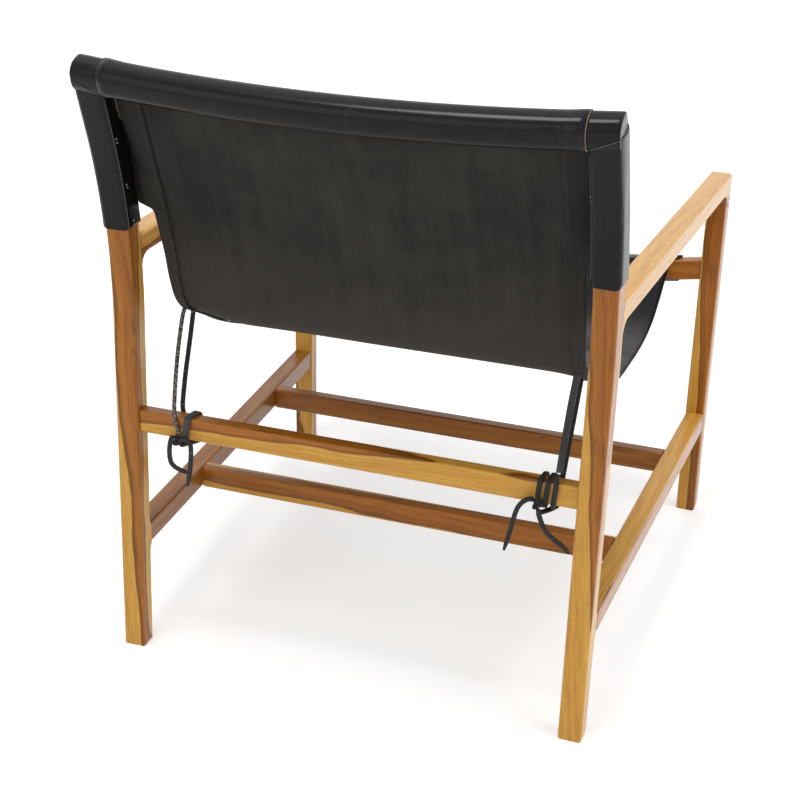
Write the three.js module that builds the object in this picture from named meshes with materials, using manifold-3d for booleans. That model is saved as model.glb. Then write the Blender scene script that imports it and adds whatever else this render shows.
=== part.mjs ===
// A sling lounge chair: an open teak frame of two splayed side frames and five cross members,
// with one leather sling hung between the top rail and the seat's front rail and laced to the
// rear rail with leather thongs. Millimetres, +Z up, the sitter faces -Y.
import * as THREE from "three";
import { mergeVertices } from "three/addons/utils/BufferGeometryUtils.js";
import Module from "manifold-3d";

const wasm = await Module();
wasm.setup();

// Plan of the frame: the side frames stand wider apart at the front than at the back
const rearHalfWidth = 316;
const frontHalfWidth = 341;
const frameDepth = 675;

// Working clearances
const jointGap = 0.3;
const leatherGap = 0.3;
const overrun = 40;
const farOverrun = 160;
const mergeTolerance = 0.001;

// Rear leg: one curved post from the floor to the top rail
const rearLegThickness = 30.4;
const rearLegDepth = 31.8;
const rearFootDepth = 25.3;
const rearToeBack = 11.5;
const rearLegForwardRake = 0.034;
const bendStartHeight = 473;
const bendRadius = 645;
const backLean = THREE.MathUtils.degToRad(20);
const legEase = 3.2;

// Front leg
const frontLegThickness = 28.6;
const frontLegDepth = 29.3;
const frontFootDepth = 26.5;

// Arm
const armThickness = 30;
const armHeight = 28.6;
const armTopRear = 572.5;
const armTopFront = 547.8;
const armNoseRadius = 13;
const armFrontFillet = 17;
const armRearFillet = 24;
const armEase = 3.4;

// Side stretcher, with the pad that swells the rear leg where it lands
const stretcherThickness = 27.7;
const stretcherHeight = 29.5;
const stretcherTop = 170;
const stretcherEase = 3;
const padReach = 4.5;
const padRunOut = 15;

// Cross rails: height, thickness and eased long edges
const railHeight = 30;
const railThickness = 20.5;
const railEase = 3.4;
const rearRailBack = -5.6;
const rearRailTop = 343.4;
const rearLowerRailBack = -199.5;
const frontLowerRailBack = -484.6;
const lowerRailTop = 169.8;
const lowerRailHeight = 31.2;
const seatRailHeight = 31;
const seatRailDip = 24;
const seatRailSetback = 25.4;
const seatRailBack = seatRailSetback - frameDepth;
const seatRailTop = 415;

// Tenons
const railTenonLength = 17;
const railTenonHeight = 18;
const railTenonThickness = 9;
const frameTenonLength = 16;
const frameTenonHeight = 16;
const frameTenonThickness = 10;
const tenonRoot = 12;

// Top rail: runs over the posts, bowed backwards and dipping at its middle
const topRailDepth = 31.8;
const topRailHeight = 32.5;
const topRailRadius = 12;
const topRailY = 44.5;
const topRailZ = 784.6;
const topRailEndInset = 3.4;
const topRailBow = 17;
const topRailDip = 10.5;
const topRailStations = 10;
const sheetStations = 6;
const slingPoints = 23;
const railCurveSegments = 3;
const capStations = 2;
const capSeatStations = 4;

// Leather of the back corners: a cap over each end of the top rail, a sleeve on each post
const cornerLeather = 2.7;
const sleeveBottoms = { left: 585.5, right: 596 };
const mitreRise = 15;
const mitreStart = 765;

// Sling leather
const slingThickness = 3.2;
const tubeEndGap = 1;
const wingBottom = 612;
const slingSideGap = 19.6;
const slingSeatHalfWidth = rearHalfWidth - rearLegThickness - slingSideGap;
const slingBackSpread = 4;
const slingFrontSpread = 14;
const slingBackHalfWidth = slingSeatHalfWidth + slingBackSpread;
const slingFrontHalfWidth = slingSeatHalfWidth + slingFrontSpread;
const flapRun = 3.4;
const slingFrontStart = seatRailBack - flapRun;
const flapCornerRadius = 5;
const wrapTail = 10;
const wrapStepDegrees = 30;
const slingLeave = 8;
const heelBack = -93;
const heelHeight = 455;
const heelSpread = 1;
const heelHalfWidth = slingSeatHalfWidth + heelSpread;
const slingFrontRise = THREE.MathUtils.degToRad(29);
const slingFrontRun = 48;
const bandThickness = 2;
const bandGap = 0.4;
const bandTopInset = 34;
const bandSeatInset = 12;
const bandTop = 746;
const seatDipStart = seatRailBack + 250;
const seatDipEnd = seatRailBack + 30;
const bandEndRun = 61.6;
const bandFront = seatRailBack + bandEndRun;

// Lacing thong
const thongWidth = 5.8;
const thongThickness = 3.8;
const slotEase = 1.4;
const slotDepth = 16;
const slotTilt = THREE.MathUtils.degToRad(42);
const leftTurnStart = 226.8;
const leftTurnPitch = 18;
const rightTurnStart = -259.2;
const rightTurnPitch = 9.9;
const turnSteps = 24;
const turnGap = 1.1;
const knotWidth = 10.6;
const knotHeight = 14.5;
const knotDepth = 10.4;
const knotLap = 1;
const knotTilt = THREE.MathUtils.degToRad(35);

// Finishes
const teak = { color: 0xb98446, roughness: 0.55 };
const fleshLeather = { color: 0x37342f, roughness: 0.85 };
const grainLeather = { color: 0x26262a, roughness: 0.38 };
const thongLeather = { color: 0x2b2a2c, roughness: 0.6 };

const splay = Math.atan2(frontHalfWidth - rearHalfWidth, frameDepth);
const sides = [
  { side: "left", sign: 1 },
  { side: "right", sign: -1 },
];

// Solids and geometry
function solidFrom(geometry) {
  const bare = geometry.index ? geometry.toNonIndexed() : geometry.clone();
  for (const name of Object.keys(bare.attributes)) {
    if (name !== "position") bare.deleteAttribute(name);
  }
  const merged = mergeVertices(bare, mergeTolerance);
  return new wasm.Manifold(
    new wasm.Mesh({
      numProp: 3,
      vertProperties: merged.attributes.position.array,
      triVerts: new Uint32Array(merged.index.array),
    }),
  );
}

function geometryFrom(solid) {
  const mesh = solid.getMesh();
  const geometry = new THREE.BufferGeometry();
  geometry.setAttribute("position", new THREE.BufferAttribute(new Float32Array(mesh.vertProperties), 3));
  geometry.setIndex(new THREE.BufferAttribute(new Uint32Array(mesh.triVerts), 1));
  return geometry;
}

function piece(name, solidOrGeometry, finish) {
  const geometry = solidOrGeometry.isBufferGeometry ? solidOrGeometry : geometryFrom(solidOrGeometry);
  geometry.computeVertexNormals();
  const mesh = new THREE.Mesh(geometry, new THREE.MeshStandardMaterial({ metalness: 0, ...finish }));
  mesh.name = name;
  return mesh;
}

// An outline in the plane of depth and height, extruded across the chair from one x to another
const acrossChair = new THREE.Matrix4().makeBasis(
  new THREE.Vector3(0, 1, 0),
  new THREE.Vector3(0, 0, 1),
  new THREE.Vector3(1, 0, 0),
);

function extrudeAcross(shape, fromX, toX, { ease = 0, steps = 1, curveSegments = 5 } = {}) {
  const geometry = new THREE.ExtrudeGeometry(shape, {
    depth: toX - fromX - 2 * ease,
    steps,
    curveSegments,
    bevelEnabled: ease > 0,
    bevelThickness: ease,
    bevelSize: ease,
    bevelOffset: -ease,
    bevelSegments: 2,
  });
  return geometry.translate(0, 0, fromX + ease).applyMatrix4(acrossChair);
}

function roundedRectangle(left, bottom, width, height, radius) {
  const right = left + width;
  const top = bottom + height;
  const quarter = Math.PI / 2;
  const shape = new THREE.Shape();
  shape.moveTo(left + radius, bottom);
  shape.lineTo(right - radius, bottom);
  shape.absarc(right - radius, bottom + radius, radius, -quarter, 0, false);
  shape.lineTo(right, top - radius);
  shape.absarc(right - radius, top - radius, radius, 0, quarter, false);
  shape.lineTo(left + radius, top);
  shape.absarc(left + radius, top - radius, radius, quarter, 2 * quarter, false);
  shape.lineTo(left, bottom + radius);
  shape.absarc(left + radius, bottom + radius, radius, 2 * quarter, 3 * quarter, false);
  return shape;
}

function box(center, size, grow = 0) {
  const geometry = new THREE.BoxGeometry(size.x + 2 * grow, size.y + 2 * grow, size.z + 2 * grow);
  return geometry.translate(center.x, center.y, center.z);
}

// The plane of one side frame: local x runs outwards from 0 at its outer face, y and z as the chair's
function sideMatrix(sign) {
  const turn = new THREE.Matrix4().makeRotationZ(sign * splay);
  return new THREE.Matrix4().makeTranslation(sign * rearHalfWidth, 0, 0).multiply(turn);
}

function sidePoint(sign, localX, localY) {
  return new THREE.Vector3(sign * localX, localY, 0).applyMatrix4(sideMatrix(sign));
}

function placedAtSide(sign, center, size, grow) {
  const mirrored = new THREE.Vector3(sign * center.x, center.y, center.z);
  return solidFrom(box(mirrored, size, grow).applyMatrix4(sideMatrix(sign)));
}

// Rear leg lines: distances forward of the back face, along the straight foot, the bend and the post
const footAngle = -Math.atan(rearLegForwardRake);
const bendStart = new THREE.Vector2(rearToeBack - rearLegForwardRake * bendStartHeight, bendStartHeight);
const bendCenter = new THREE.Vector2(
  bendStart.x + bendRadius * Math.cos(footAngle),
  bendStart.y - bendRadius * Math.sin(footAngle),
);

function bendPoint(angle, forward) {
  const reach = bendRadius + forward;
  return new THREE.Vector2(
    bendCenter.x - reach * Math.cos(angle),
    bendCenter.y + reach * Math.sin(angle),
  );
}

const railCenter = new THREE.Vector2(topRailY, topRailZ);
const leanUp = new THREE.Vector2(Math.sin(backLean), Math.cos(backLean));
const postLength = railCenter.clone().sub(bendPoint(backLean, 0)).dot(leanUp) - topRailHeight / 2;

function postPoint(along, forward) {
  return bendPoint(backLean, forward).addScaledVector(leanUp, along);
}

function rearFaceAt(height, forward) {
  const rise = Math.asin((height - bendCenter.y) / (bendRadius + forward));
  const postStart = bendPoint(backLean, forward);
  if (height > postStart.y) return postStart.x + (height - postStart.y) * Math.tan(backLean);
  if (rise > footAngle) return bendPoint(rise, forward).x;
  const foot = forward > 0 ? (rearFootDepth * forward) / rearLegDepth : forward;
  const start = bendPoint(footAngle, forward);
  const share = height / start.y;
  return (rearToeBack - foot) * (1 - share) + start.x * share;
}

// The post with its faces moved outwards by grow, from a height to a square end beyond the top
// rail's underside; padded widens the landing of the side stretcher
function rearLegShape(grow, bottom, beyond, padded) {
  const back = -grow;
  const front = rearLegDepth + grow;
  const shape = new THREE.Shape();
  const topBack = postPoint(postLength + beyond, back);
  const topFront = postPoint(postLength + beyond, front);
  shape.moveTo(rearFaceAt(bottom, back), bottom);
  if (bottom < bendStartHeight) {
    const start = bendPoint(footAngle, back);
    shape.lineTo(start.x, start.y);
  }
  const startAngle = Math.max(footAngle, Math.asin((bottom - bendCenter.y) / (bendRadius + back)));
  shape.absarc(bendCenter.x, bendCenter.y, bendRadius + back, Math.PI - startAngle, Math.PI - backLean, true);
  shape.lineTo(topBack.x, topBack.y);
  shape.lineTo(topFront.x, topFront.y);
  const endAngle = Math.max(footAngle, Math.asin((bottom - bendCenter.y) / (bendRadius + front)));
  shape.absarc(bendCenter.x, bendCenter.y, bendRadius + front, Math.PI - backLean, Math.PI - endAngle, false);
  if (padded) {
    const padTop = stretcherTop + padRunOut;
    const landing = stretcherTop - stretcherHeight;
    const padBottom = landing - padRunOut;
    const padFront = rearFaceAt(stretcherTop, front) - padReach;
    shape.lineTo(rearFaceAt(padTop, front), padTop);
    shape.quadraticCurveTo(rearFaceAt(stretcherTop, front), stretcherTop, padFront, stretcherTop);
    shape.lineTo(padFront, landing);
    shape.quadraticCurveTo(rearFaceAt(landing, front), landing, rearFaceAt(padBottom, front), padBottom);
  }
  shape.lineTo(rearFaceAt(bottom, front), bottom);
  return shape;
}

function rearLegBody(grow, bottom, beyond, padded) {
  const shape = rearLegShape(grow, bottom, beyond, padded);
  return solidFrom(extrudeAcross(shape, -rearLegThickness - grow, grow, { ease: legEase + grow }));
}

// Joints of one side frame, as boxes in the side frame's own plane
const railMiddle = (back, thickness) => back - thickness / 2;
const halfRoot = tenonRoot / 2;
const sideJoint = (x, y, z) => ({
  center: new THREE.Vector3(x, y, z),
  size: new THREE.Vector3(frameTenonThickness, frameTenonLength + tenonRoot, frameTenonHeight),
});
const railJoint = (innerFace, back, top, height) => ({
  center: new THREE.Vector3(
    -innerFace + railTenonLength / 2 - halfRoot,
    railMiddle(back, railThickness),
    top - height / 2,
  ),
  size: new THREE.Vector3(railTenonLength + tenonRoot, railTenonThickness, railTenonHeight),
});

function armTopAt(y) {
  return armTopRear + ((armTopRear - armTopFront) * y) / frameDepth;
}

const frontLegBack = -frameDepth + frontLegDepth;
const armHeadBottom = armTopAt(-frameDepth) - armHeight - armFrontFillet;
const stretcherMiddle = stretcherTop - stretcherHeight / 2;
const armMiddleRear = armTopRear - armHeight / 2;
const padFace = rearFaceAt(stretcherTop, rearLegDepth) - padReach;
const armRearFace = rearFaceAt(armMiddleRear, rearLegDepth);
const joints = {
  armRear: sideJoint(-armThickness / 2, armRearFace + frameTenonLength / 2 - halfRoot, armMiddleRear),
  stretcherRear: sideJoint(
    -stretcherThickness / 2,
    padFace + frameTenonLength / 2 - halfRoot,
    stretcherMiddle,
  ),
  stretcherFront: sideJoint(
    -stretcherThickness / 2,
    frontLegBack - frameTenonLength / 2 + halfRoot,
    stretcherMiddle,
  ),
  frontLegTop: {
    center: new THREE.Vector3(
      -frontLegThickness / 2,
      -frameDepth + frontLegDepth / 2,
      armHeadBottom + frameTenonLength / 2 - halfRoot,
    ),
    size: new THREE.Vector3(frameTenonThickness, frameTenonHeight, frameTenonLength + tenonRoot),
  },
  rearRail: railJoint(rearLegThickness, rearRailBack, rearRailTop, railHeight),
  rearLowerRail: railJoint(stretcherThickness, rearLowerRailBack, lowerRailTop, lowerRailHeight),
  frontLowerRail: railJoint(stretcherThickness, frontLowerRailBack, lowerRailTop, lowerRailHeight),
  seatRail: railJoint(frontLegThickness, seatRailBack, seatRailTop, seatRailHeight),
};
const tenon = (joint) => solidFrom(box(joint.center, joint.size));
const mortise = (joint) => solidFrom(box(joint.center, joint.size, jointGap));

// Inner face of the posts at the top rail, and what lies between them
const postInnerAtRail = sidePoint(1, -rearLegThickness, topRailY + topRailDepth / 2).x;
const wingHalfWidth = postInnerAtRail - cornerLeather - 2 * leatherGap;
const capInner = wingHalfWidth + tubeEndGap;

// Top rail, straight first and then bent: bow and dip follow one parabola along its length
const topRailHalfLength = rearHalfWidth - topRailEndInset;

function bendWithRail(geometry, hold = () => 1) {
  const position = geometry.getAttribute("position");
  for (let i = 0; i < position.count; i += 1) {
    const along = position.getX(i) / topRailHalfLength;
    const share = (1 - along * along) * hold(position.getZ(i));
    position.setY(i, position.getY(i) + topRailBow * share);
    position.setZ(i, position.getZ(i) - topRailDip * share);
  }
  return geometry;
}

// The rail's section leans back with the posts, so their square ends meet its underside
function topRailSection(grow) {
  const upright = roundedRectangle(
    -topRailDepth / 2 - grow,
    -topRailHeight / 2 - grow,
    topRailDepth + 2 * grow,
    topRailHeight + 2 * grow,
    topRailRadius + grow,
  );
  const { shape: outline } = upright.extractPoints(railCurveSegments);
  return new THREE.Shape(outline.map((point) => railPoint(point.x, point.y)));
}

function railPoint(backward, upward) {
  return new THREE.Vector2(backward, upward).rotateAround(new THREE.Vector2(), -backLean).add(railCenter);
}

function topRailBody(grow, fromX, toX, steps) {
  return solidFrom(bendWithRail(extrudeAcross(topRailSection(grow), fromX, toX, { steps })));
}

function rearLeg() {
  const reach = topRailHalfLength + jointGap;
  const seat = topRailBody(jointGap, -reach, reach, topRailStations);
  const seatHere = seat.transform(new Float32Array(sideMatrix(1).invert().elements));
  return rearLegBody(0, 0, topRailRadius / 2, true)
    .subtract(seatHere)
    .subtract(mortise(joints.armRear))
    .subtract(mortise(joints.stretcherRear))
    .subtract(mortise(joints.rearRail));
}

function frontLeg() {
  const shape = new THREE.Shape();
  shape.moveTo(-frameDepth, armHeadBottom - jointGap);
  shape.lineTo(-frameDepth, 0);
  shape.lineTo(-frameDepth + frontFootDepth, 0);
  shape.lineTo(frontLegBack, stretcherTop - stretcherHeight);
  shape.lineTo(frontLegBack, armHeadBottom - jointGap);
  return solidFrom(extrudeAcross(shape, -frontLegThickness, 0, { ease: legEase }))
    .add(tenon(joints.frontLegTop))
    .subtract(mortise(joints.stretcherFront))
    .subtract(mortise(joints.seatRail));
}

function arm() {
  const rear = -rearLegDepth / 2;
  const rearFaceLow = rearFaceAt(armTopRear - armHeight - armRearFillet, rearLegDepth);
  const shape = new THREE.Shape();
  shape.moveTo(rear, armTopAt(rear));
  shape.lineTo(-frameDepth + armNoseRadius, armTopAt(-frameDepth + armNoseRadius));
  shape.quadraticCurveTo(
    -frameDepth,
    armTopAt(-frameDepth),
    -frameDepth,
    armTopAt(-frameDepth) - armNoseRadius,
  );
  shape.lineTo(-frameDepth, armHeadBottom);
  shape.lineTo(frontLegBack, armHeadBottom);
  const filletEnd = frontLegBack + armFrontFillet;
  shape.quadraticCurveTo(
    frontLegBack,
    armTopAt(frontLegBack) - armHeight,
    filletEnd,
    armTopAt(filletEnd) - armHeight,
  );
  const filletStart = armRearFace - armRearFillet;
  shape.lineTo(filletStart, armTopAt(filletStart) - armHeight);
  shape.quadraticCurveTo(
    armRearFace,
    armTopAt(armRearFace) - armHeight,
    rearFaceLow,
    armTopRear - armHeight - armRearFillet,
  );
  shape.lineTo(rear, armTopRear - armHeight - armRearFillet);
  return solidFrom(extrudeAcross(shape, -armThickness, 0, { ease: armEase }))
    .subtract(rearLegBody(jointGap, 0, 0, false))
    .add(tenon(joints.armRear))
    .subtract(mortise(joints.frontLegTop));
}

function sideStretcher() {
  const shape = new THREE.Shape();
  const rear = padFace - jointGap;
  const front = frontLegBack + jointGap;
  shape.moveTo(rear, stretcherTop);
  shape.lineTo(front, stretcherTop);
  shape.lineTo(front, stretcherTop - stretcherHeight);
  shape.lineTo(rear, stretcherTop - stretcherHeight);
  return solidFrom(extrudeAcross(shape, -stretcherThickness, 0, { ease: stretcherEase }))
    .add(tenon(joints.stretcherRear))
    .add(tenon(joints.stretcherFront))
    .subtract(mortise(joints.rearLowerRail))
    .subtract(mortise(joints.frontLowerRail));
}

// The room between the inner faces of the side frames, as one tall solid to trim rails to length
function betweenSides(thickness) {
  const corners = [
    sidePoint(1, -thickness - jointGap, overrun),
    sidePoint(1, -thickness - jointGap, -frameDepth - overrun),
    sidePoint(-1, -thickness - jointGap, -frameDepth - overrun),
    sidePoint(-1, -thickness - jointGap, overrun),
  ];
  const plan = new THREE.Shape(corners.map((corner) => new THREE.Vector2(corner.x, corner.y)));
  return solidFrom(new THREE.ExtrudeGeometry(plan, { depth: armTopRear, bevelEnabled: false }));
}

const crossRails = {
  rear_rail: {
    back: rearRailBack,
    top: rearRailTop,
    height: railHeight,
    sideThickness: rearLegThickness,
    joint: joints.rearRail,
  },
  rear_lower_rail: {
    back: rearLowerRailBack,
    top: lowerRailTop,
    height: lowerRailHeight,
    sideThickness: stretcherThickness,
    joint: joints.rearLowerRail,
  },
  front_lower_rail: {
    back: frontLowerRailBack,
    top: lowerRailTop,
    height: lowerRailHeight,
    sideThickness: stretcherThickness,
    joint: joints.frontLowerRail,
  },
  seat_front_rail: {
    back: seatRailBack,
    top: seatRailTop,
    height: seatRailHeight,
    sideThickness: frontLegThickness,
    joint: joints.seatRail,
    dips: true,
  },
};

// The seat's front rail dips to its middle along one parabola, between the front legs
const seatRailHalfLength = sidePoint(1, -frontLegThickness, seatRailBack).x;
const stationRun = (2 * slingFrontHalfWidth) / sheetStations;
const barHalfLength = stationRun * Math.ceil(frontHalfWidth / stationRun);

function dipWithSeatRail(geometry, hold = () => 1) {
  const position = geometry.getAttribute("position");
  for (let i = 0; i < position.count; i += 1) {
    const along = position.getX(i) / seatRailHalfLength;
    position.setZ(i, position.getZ(i) - seatRailDip * (1 - along * along) * hold(position.getY(i)));
  }
  return geometry;
}

function crossRail({ back, top, height, sideThickness, joint, dips }) {
  const section = roundedRectangle(back - railThickness, top - height, railThickness, height, railEase);
  const steps = dips ? (2 * barHalfLength) / stationRun : 1;
  const straight = extrudeAcross(section, -barHalfLength, barHalfLength, { steps, curveSegments: 2 });
  const bar = solidFrom(dips ? dipWithSeatRail(straight) : straight);
  return bar
    .intersect(betweenSides(sideThickness))
    .add(placedAtSide(1, joint.center, joint.size, 0))
    .add(placedAtSide(-1, joint.center, joint.size, 0));
}

function topRail() {
  return topRailBody(0, -topRailHalfLength, topRailHalfLength, topRailStations);
}

// Leather of a back corner: the grown post and rail end less the wood, parted along a mitre
function cornerLeatherShell(side, sign) {
  const sleeveBottom = sleeveBottoms[side];
  const reach = rearHalfWidth + cornerLeather - topRailEndInset + leatherGap;
  const span = [sign * capInner, sign * reach].sort((a, b) => a - b);
  const woodReach = topRailHalfLength + leatherGap;
  const woodSpan = [sign * (capInner - overrun), sign * woodReach].sort((a, b) => a - b);
  const atSide = new Float32Array(sideMatrix(1).elements);
  const skin = cornerLeather + leatherGap;
  const mirror = (solid) => (sign > 0 ? solid : solid.mirror([1, 0, 0]));
  const post = (grow, bottom) => {
    return mirror(rearLegBody(grow, bottom, topRailHeight / 2, false).transform(atSide));
  };
  const outer = post(skin, sleeveBottom).add(topRailBody(skin, ...span, capStations));
  return outer
    .subtract(post(leatherGap, sleeveBottom - overrun))
    .subtract(topRailBody(leatherGap, ...woodSpan, capSeatStations));
}

function mitreWedge(sign, shift) {
  const run = farOverrun;
  const slope = mitreRise / (rearHalfWidth - capInner);
  const low = mitreStart - run * slope + shift;
  const high = mitreStart + run * slope + shift;
  const wedge = new THREE.Shape([
    new THREE.Vector2(capInner - run, low),
    new THREE.Vector2(capInner + run, high),
    new THREE.Vector2(capInner + run, high + run),
    new THREE.Vector2(capInner - run, high + run),
  ]);
  const geometry = new THREE.ExtrudeGeometry(wedge, { depth: 2 * run, bevelEnabled: false });
  geometry.translate(0, 0, -run).applyMatrix4(
    new THREE.Matrix4().makeBasis(
      new THREE.Vector3(1, 0, 0),
      new THREE.Vector3(0, 0, 1),
      new THREE.Vector3(0, -1, 0),
    ),
  );
  const solid = solidFrom(geometry);
  return sign > 0 ? solid : solid.mirror([1, 0, 0]);
}

function cornerCap(side, sign) {
  return cornerLeatherShell(side, sign).intersect(mitreWedge(sign, leatherGap / 2));
}

function postSleeve(side, sign) {
  return cornerLeatherShell(side, sign).subtract(mitreWedge(sign, -leatherGap / 2));
}

// Sling profile: the middle of the leather from the top rail's front, down the back, round the
// low bend behind the sitter, along the seat and over the seat's front rail
const halfLeather = slingThickness / 2;
const leatherSeat = leatherGap + halfLeather;
const heel = new THREE.Vector2(heelBack, heelHeight);
const wrapRadius = railEase + leatherSeat;

// Points between two ends, each as a share along the chord and a share of its length aside from it
const backShares = [
  [0.055, 0.009],
  [0.121, 0.01],
  [0.305, 0.007],
  [0.538, 0.005],
  [0.72, 0.006],
  [0.832, 0.019],
  [0.925, 0.022],
];
const seatShares = [
  [0.049, 0.027],
  [0.122, 0.051],
  [0.224, 0.08],
  [0.325, 0.108],
  [0.446, 0.136],
  [0.564, 0.135],
  [0.677, 0.128],
  [0.781, 0.113],
  [0.871, 0.085],
  [0.945, 0.042],
];

function alongChord(from, to, shares) {
  const chord = to.clone().sub(from);
  const aside = new THREE.Vector2(-chord.y, chord.x);
  return shares.map(([along, off]) => from.clone().addScaledVector(chord, along).addScaledVector(aside, off));
}

// An arc of leather round one eased corner of the seat's front rail, in degrees from the rear
function wrapCorner(y, z, fromDegrees, toDegrees) {
  const points = [];
  const steps = Math.ceil((toDegrees - fromDegrees) / wrapStepDegrees);
  for (let i = 0; i <= steps; i += 1) {
    const angle = THREE.MathUtils.degToRad(THREE.MathUtils.lerp(fromDegrees, toDegrees, i / steps));
    points.push(new THREE.Vector2(y + wrapRadius * Math.cos(angle), z + wrapRadius * Math.sin(angle)));
  }
  return points;
}

function slingCenterLine() {
  const top = railPoint(-topRailDepth / 2 - leatherSeat, -slingLeave);
  const rearCorner = new THREE.Vector2(seatRailBack - railEase, seatRailTop - railEase);
  const frontCorner = new THREE.Vector2(seatRailBack - railThickness + railEase, rearCorner.y);
  const lowCorner = new THREE.Vector2(frontCorner.x, seatRailTop - seatRailHeight + railEase);
  const landing = new THREE.Vector2(Math.sin(slingFrontRise), Math.cos(slingFrontRise));
  const meeting = rearCorner.clone().addScaledVector(landing, wrapRadius);
  const approach = new THREE.Vector2(Math.cos(slingFrontRise), -Math.sin(slingFrontRise));
  const seatEnd = meeting.clone().addScaledVector(approach, slingFrontRun);
  const body = new THREE.SplineCurve([
    top,
    ...alongChord(top, heel, backShares),
    heel,
    ...alongChord(heel, seatEnd, seatShares),
    seatEnd,
  ]);
  return [
    ...body.getPoints(slingPoints),
    ...wrapCorner(rearCorner.x, rearCorner.y, 90 - THREE.MathUtils.radToDeg(slingFrontRise), 90),
    ...wrapCorner(frontCorner.x, frontCorner.y, 90, 180),
    ...wrapCorner(lowCorner.x, lowCorner.y, 180, 270),
    new THREE.Vector2(lowCorner.x + wrapTail, lowCorner.y - wrapRadius),
  ];
}

// The sling's line moved aside by a distance
function besideLine(line, distance) {
  return line.map((point, i) => {
    const before = line[Math.max(i - 1, 0)];
    const after = line[Math.min(i + 1, line.length - 1)];
    const direction = after.clone().sub(before).normalize();
    return new THREE.Vector2(point.x - direction.y * distance, point.y + direction.x * distance);
  });
}

// A strip of leather across the chair between two distances beside a line. Both of its faces part
// their quads along the same diagonals, so it keeps its thickness where it twists to meet the rail
function leatherStrip(line, upperSide, underSide) {
  const faces = [besideLine(line, upperSide), besideLine(line, underSide)];
  const last = line.length - 1;
  const position = [];
  const index = [];
  for (let station = 0; station <= sheetStations; station += 1) {
    const x = slingFrontHalfWidth * ((2 * station) / sheetStations - 1);
    faces.flat().forEach((point) => position.push(x, point.x, point.y));
  }
  const at = (station, face, i) => (2 * station + face) * line.length + i;
  const quad = (a, b, c, d, turned) => {
    index.push(...(turned ? [a, b, d, b, c, d] : [a, b, c, a, c, d]));
  };
  for (let station = 0; station < sheetStations; station += 1) {
    const next = station + 1;
    const turned = station < sheetStations / 2;
    for (let i = 0; i < last; i += 1) {
      quad(at(station, 0, i), at(station, 0, i + 1), at(next, 0, i + 1), at(next, 0, i), turned);
      quad(at(station, 1, i), at(next, 1, i), at(next, 1, i + 1), at(station, 1, i + 1), turned);
    }
    quad(at(station, 0, 0), at(next, 0, 0), at(next, 1, 0), at(station, 1, 0), turned);
    quad(at(station, 1, last), at(next, 1, last), at(next, 0, last), at(station, 0, last), turned);
  }
  const end = sheetStations;
  for (let i = 0; i < last; i += 1) {
    quad(at(0, 0, i + 1), at(0, 0, i), at(0, 1, i), at(0, 1, i + 1), false);
    quad(at(end, 0, i), at(end, 0, i + 1), at(end, 1, i + 1), at(end, 1, i), false);
  }
  const geometry = new THREE.BufferGeometry();
  geometry.setAttribute("position", new THREE.Float32BufferAttribute(position, 3));
  geometry.setIndex(index);
  return solidFrom(dipWithSeatRail(bendWithRail(geometry, followRail), followSeatRail));
}

const slingLine = slingCenterLine();
const bendTop = topRailZ - topRailHeight;
const followRail = (z) => THREE.MathUtils.clamp((z - wingBottom) / (bendTop - wingBottom), 0, 1);
const followSeatRail = (y) => THREE.MathUtils.clamp((y - seatDipStart) / (seatDipEnd - seatDipStart), 0, 1);

// Sides of the sling in plan: what lies outside is cut away, below the wings
function slingTrim(sign, bottomOfWing) {
  const plan = new THREE.Shape();
  const back = topRailY + overrun;
  const outside = frontHalfWidth + overrun;
  const spread = slingFrontStart - flapCornerRadius;
  plan.moveTo(sign * slingBackHalfWidth, back);
  plan.lineTo(sign * slingBackHalfWidth, 0);
  plan.lineTo(sign * heelHalfWidth, heelBack);
  plan.lineTo(sign * slingSeatHalfWidth, slingFrontStart + flapCornerRadius);
  plan.quadraticCurveTo(sign * slingSeatHalfWidth, slingFrontStart, sign * slingFrontHalfWidth, spread);
  plan.lineTo(sign * outside, spread);
  plan.lineTo(sign * outside, back);
  const low = new THREE.ExtrudeGeometry(plan, { depth: bottomOfWing, bevelEnabled: false, curveSegments: 4 });
  const wingSize = new THREE.Vector3(2 * overrun, frameDepth, topRailZ);
  const wingCenter = new THREE.Vector3(sign * (wingHalfWidth + overrun), 0, bottomOfWing + topRailZ / 2);
  return solidFrom(low).add(solidFrom(box(wingCenter, wingSize)));
}

function sling() {
  const section = topRailSection(leatherGap + slingThickness);
  section.holes.push(topRailSection(leatherGap));
  const tube = extrudeAcross(section, -wingHalfWidth, wingHalfWidth, { steps: topRailStations });
  let solid = leatherStrip(slingLine, -halfLeather, halfLeather);
  for (const { side, sign } of sides) {
    solid = solid.subtract(slingTrim(sign, wingBottom));
    for (const slot of slots[side]) {
      solid = solid.subtract(thongSlot(side, slot));
    }
  }
  return solid.add(solidFrom(bendWithRail(tube)));
}

// Edge bands: strips stitched under the sling's two side edges, behind the lacing holes
function edgeBand(side, sign) {
  const line = slingLine.filter((point) => point.y < bandTop && point.x > bandFront);
  const under = halfLeather + bandGap;
  let solid = leatherStrip(line, under, under + bandThickness)
    .subtract(slingTrim(sign, wingBottom))
    .subtract(bandTrim(sign));
  for (const slot of slots[side]) {
    solid = solid.subtract(thongSlot(side, slot));
  }
  return solid;
}

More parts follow.
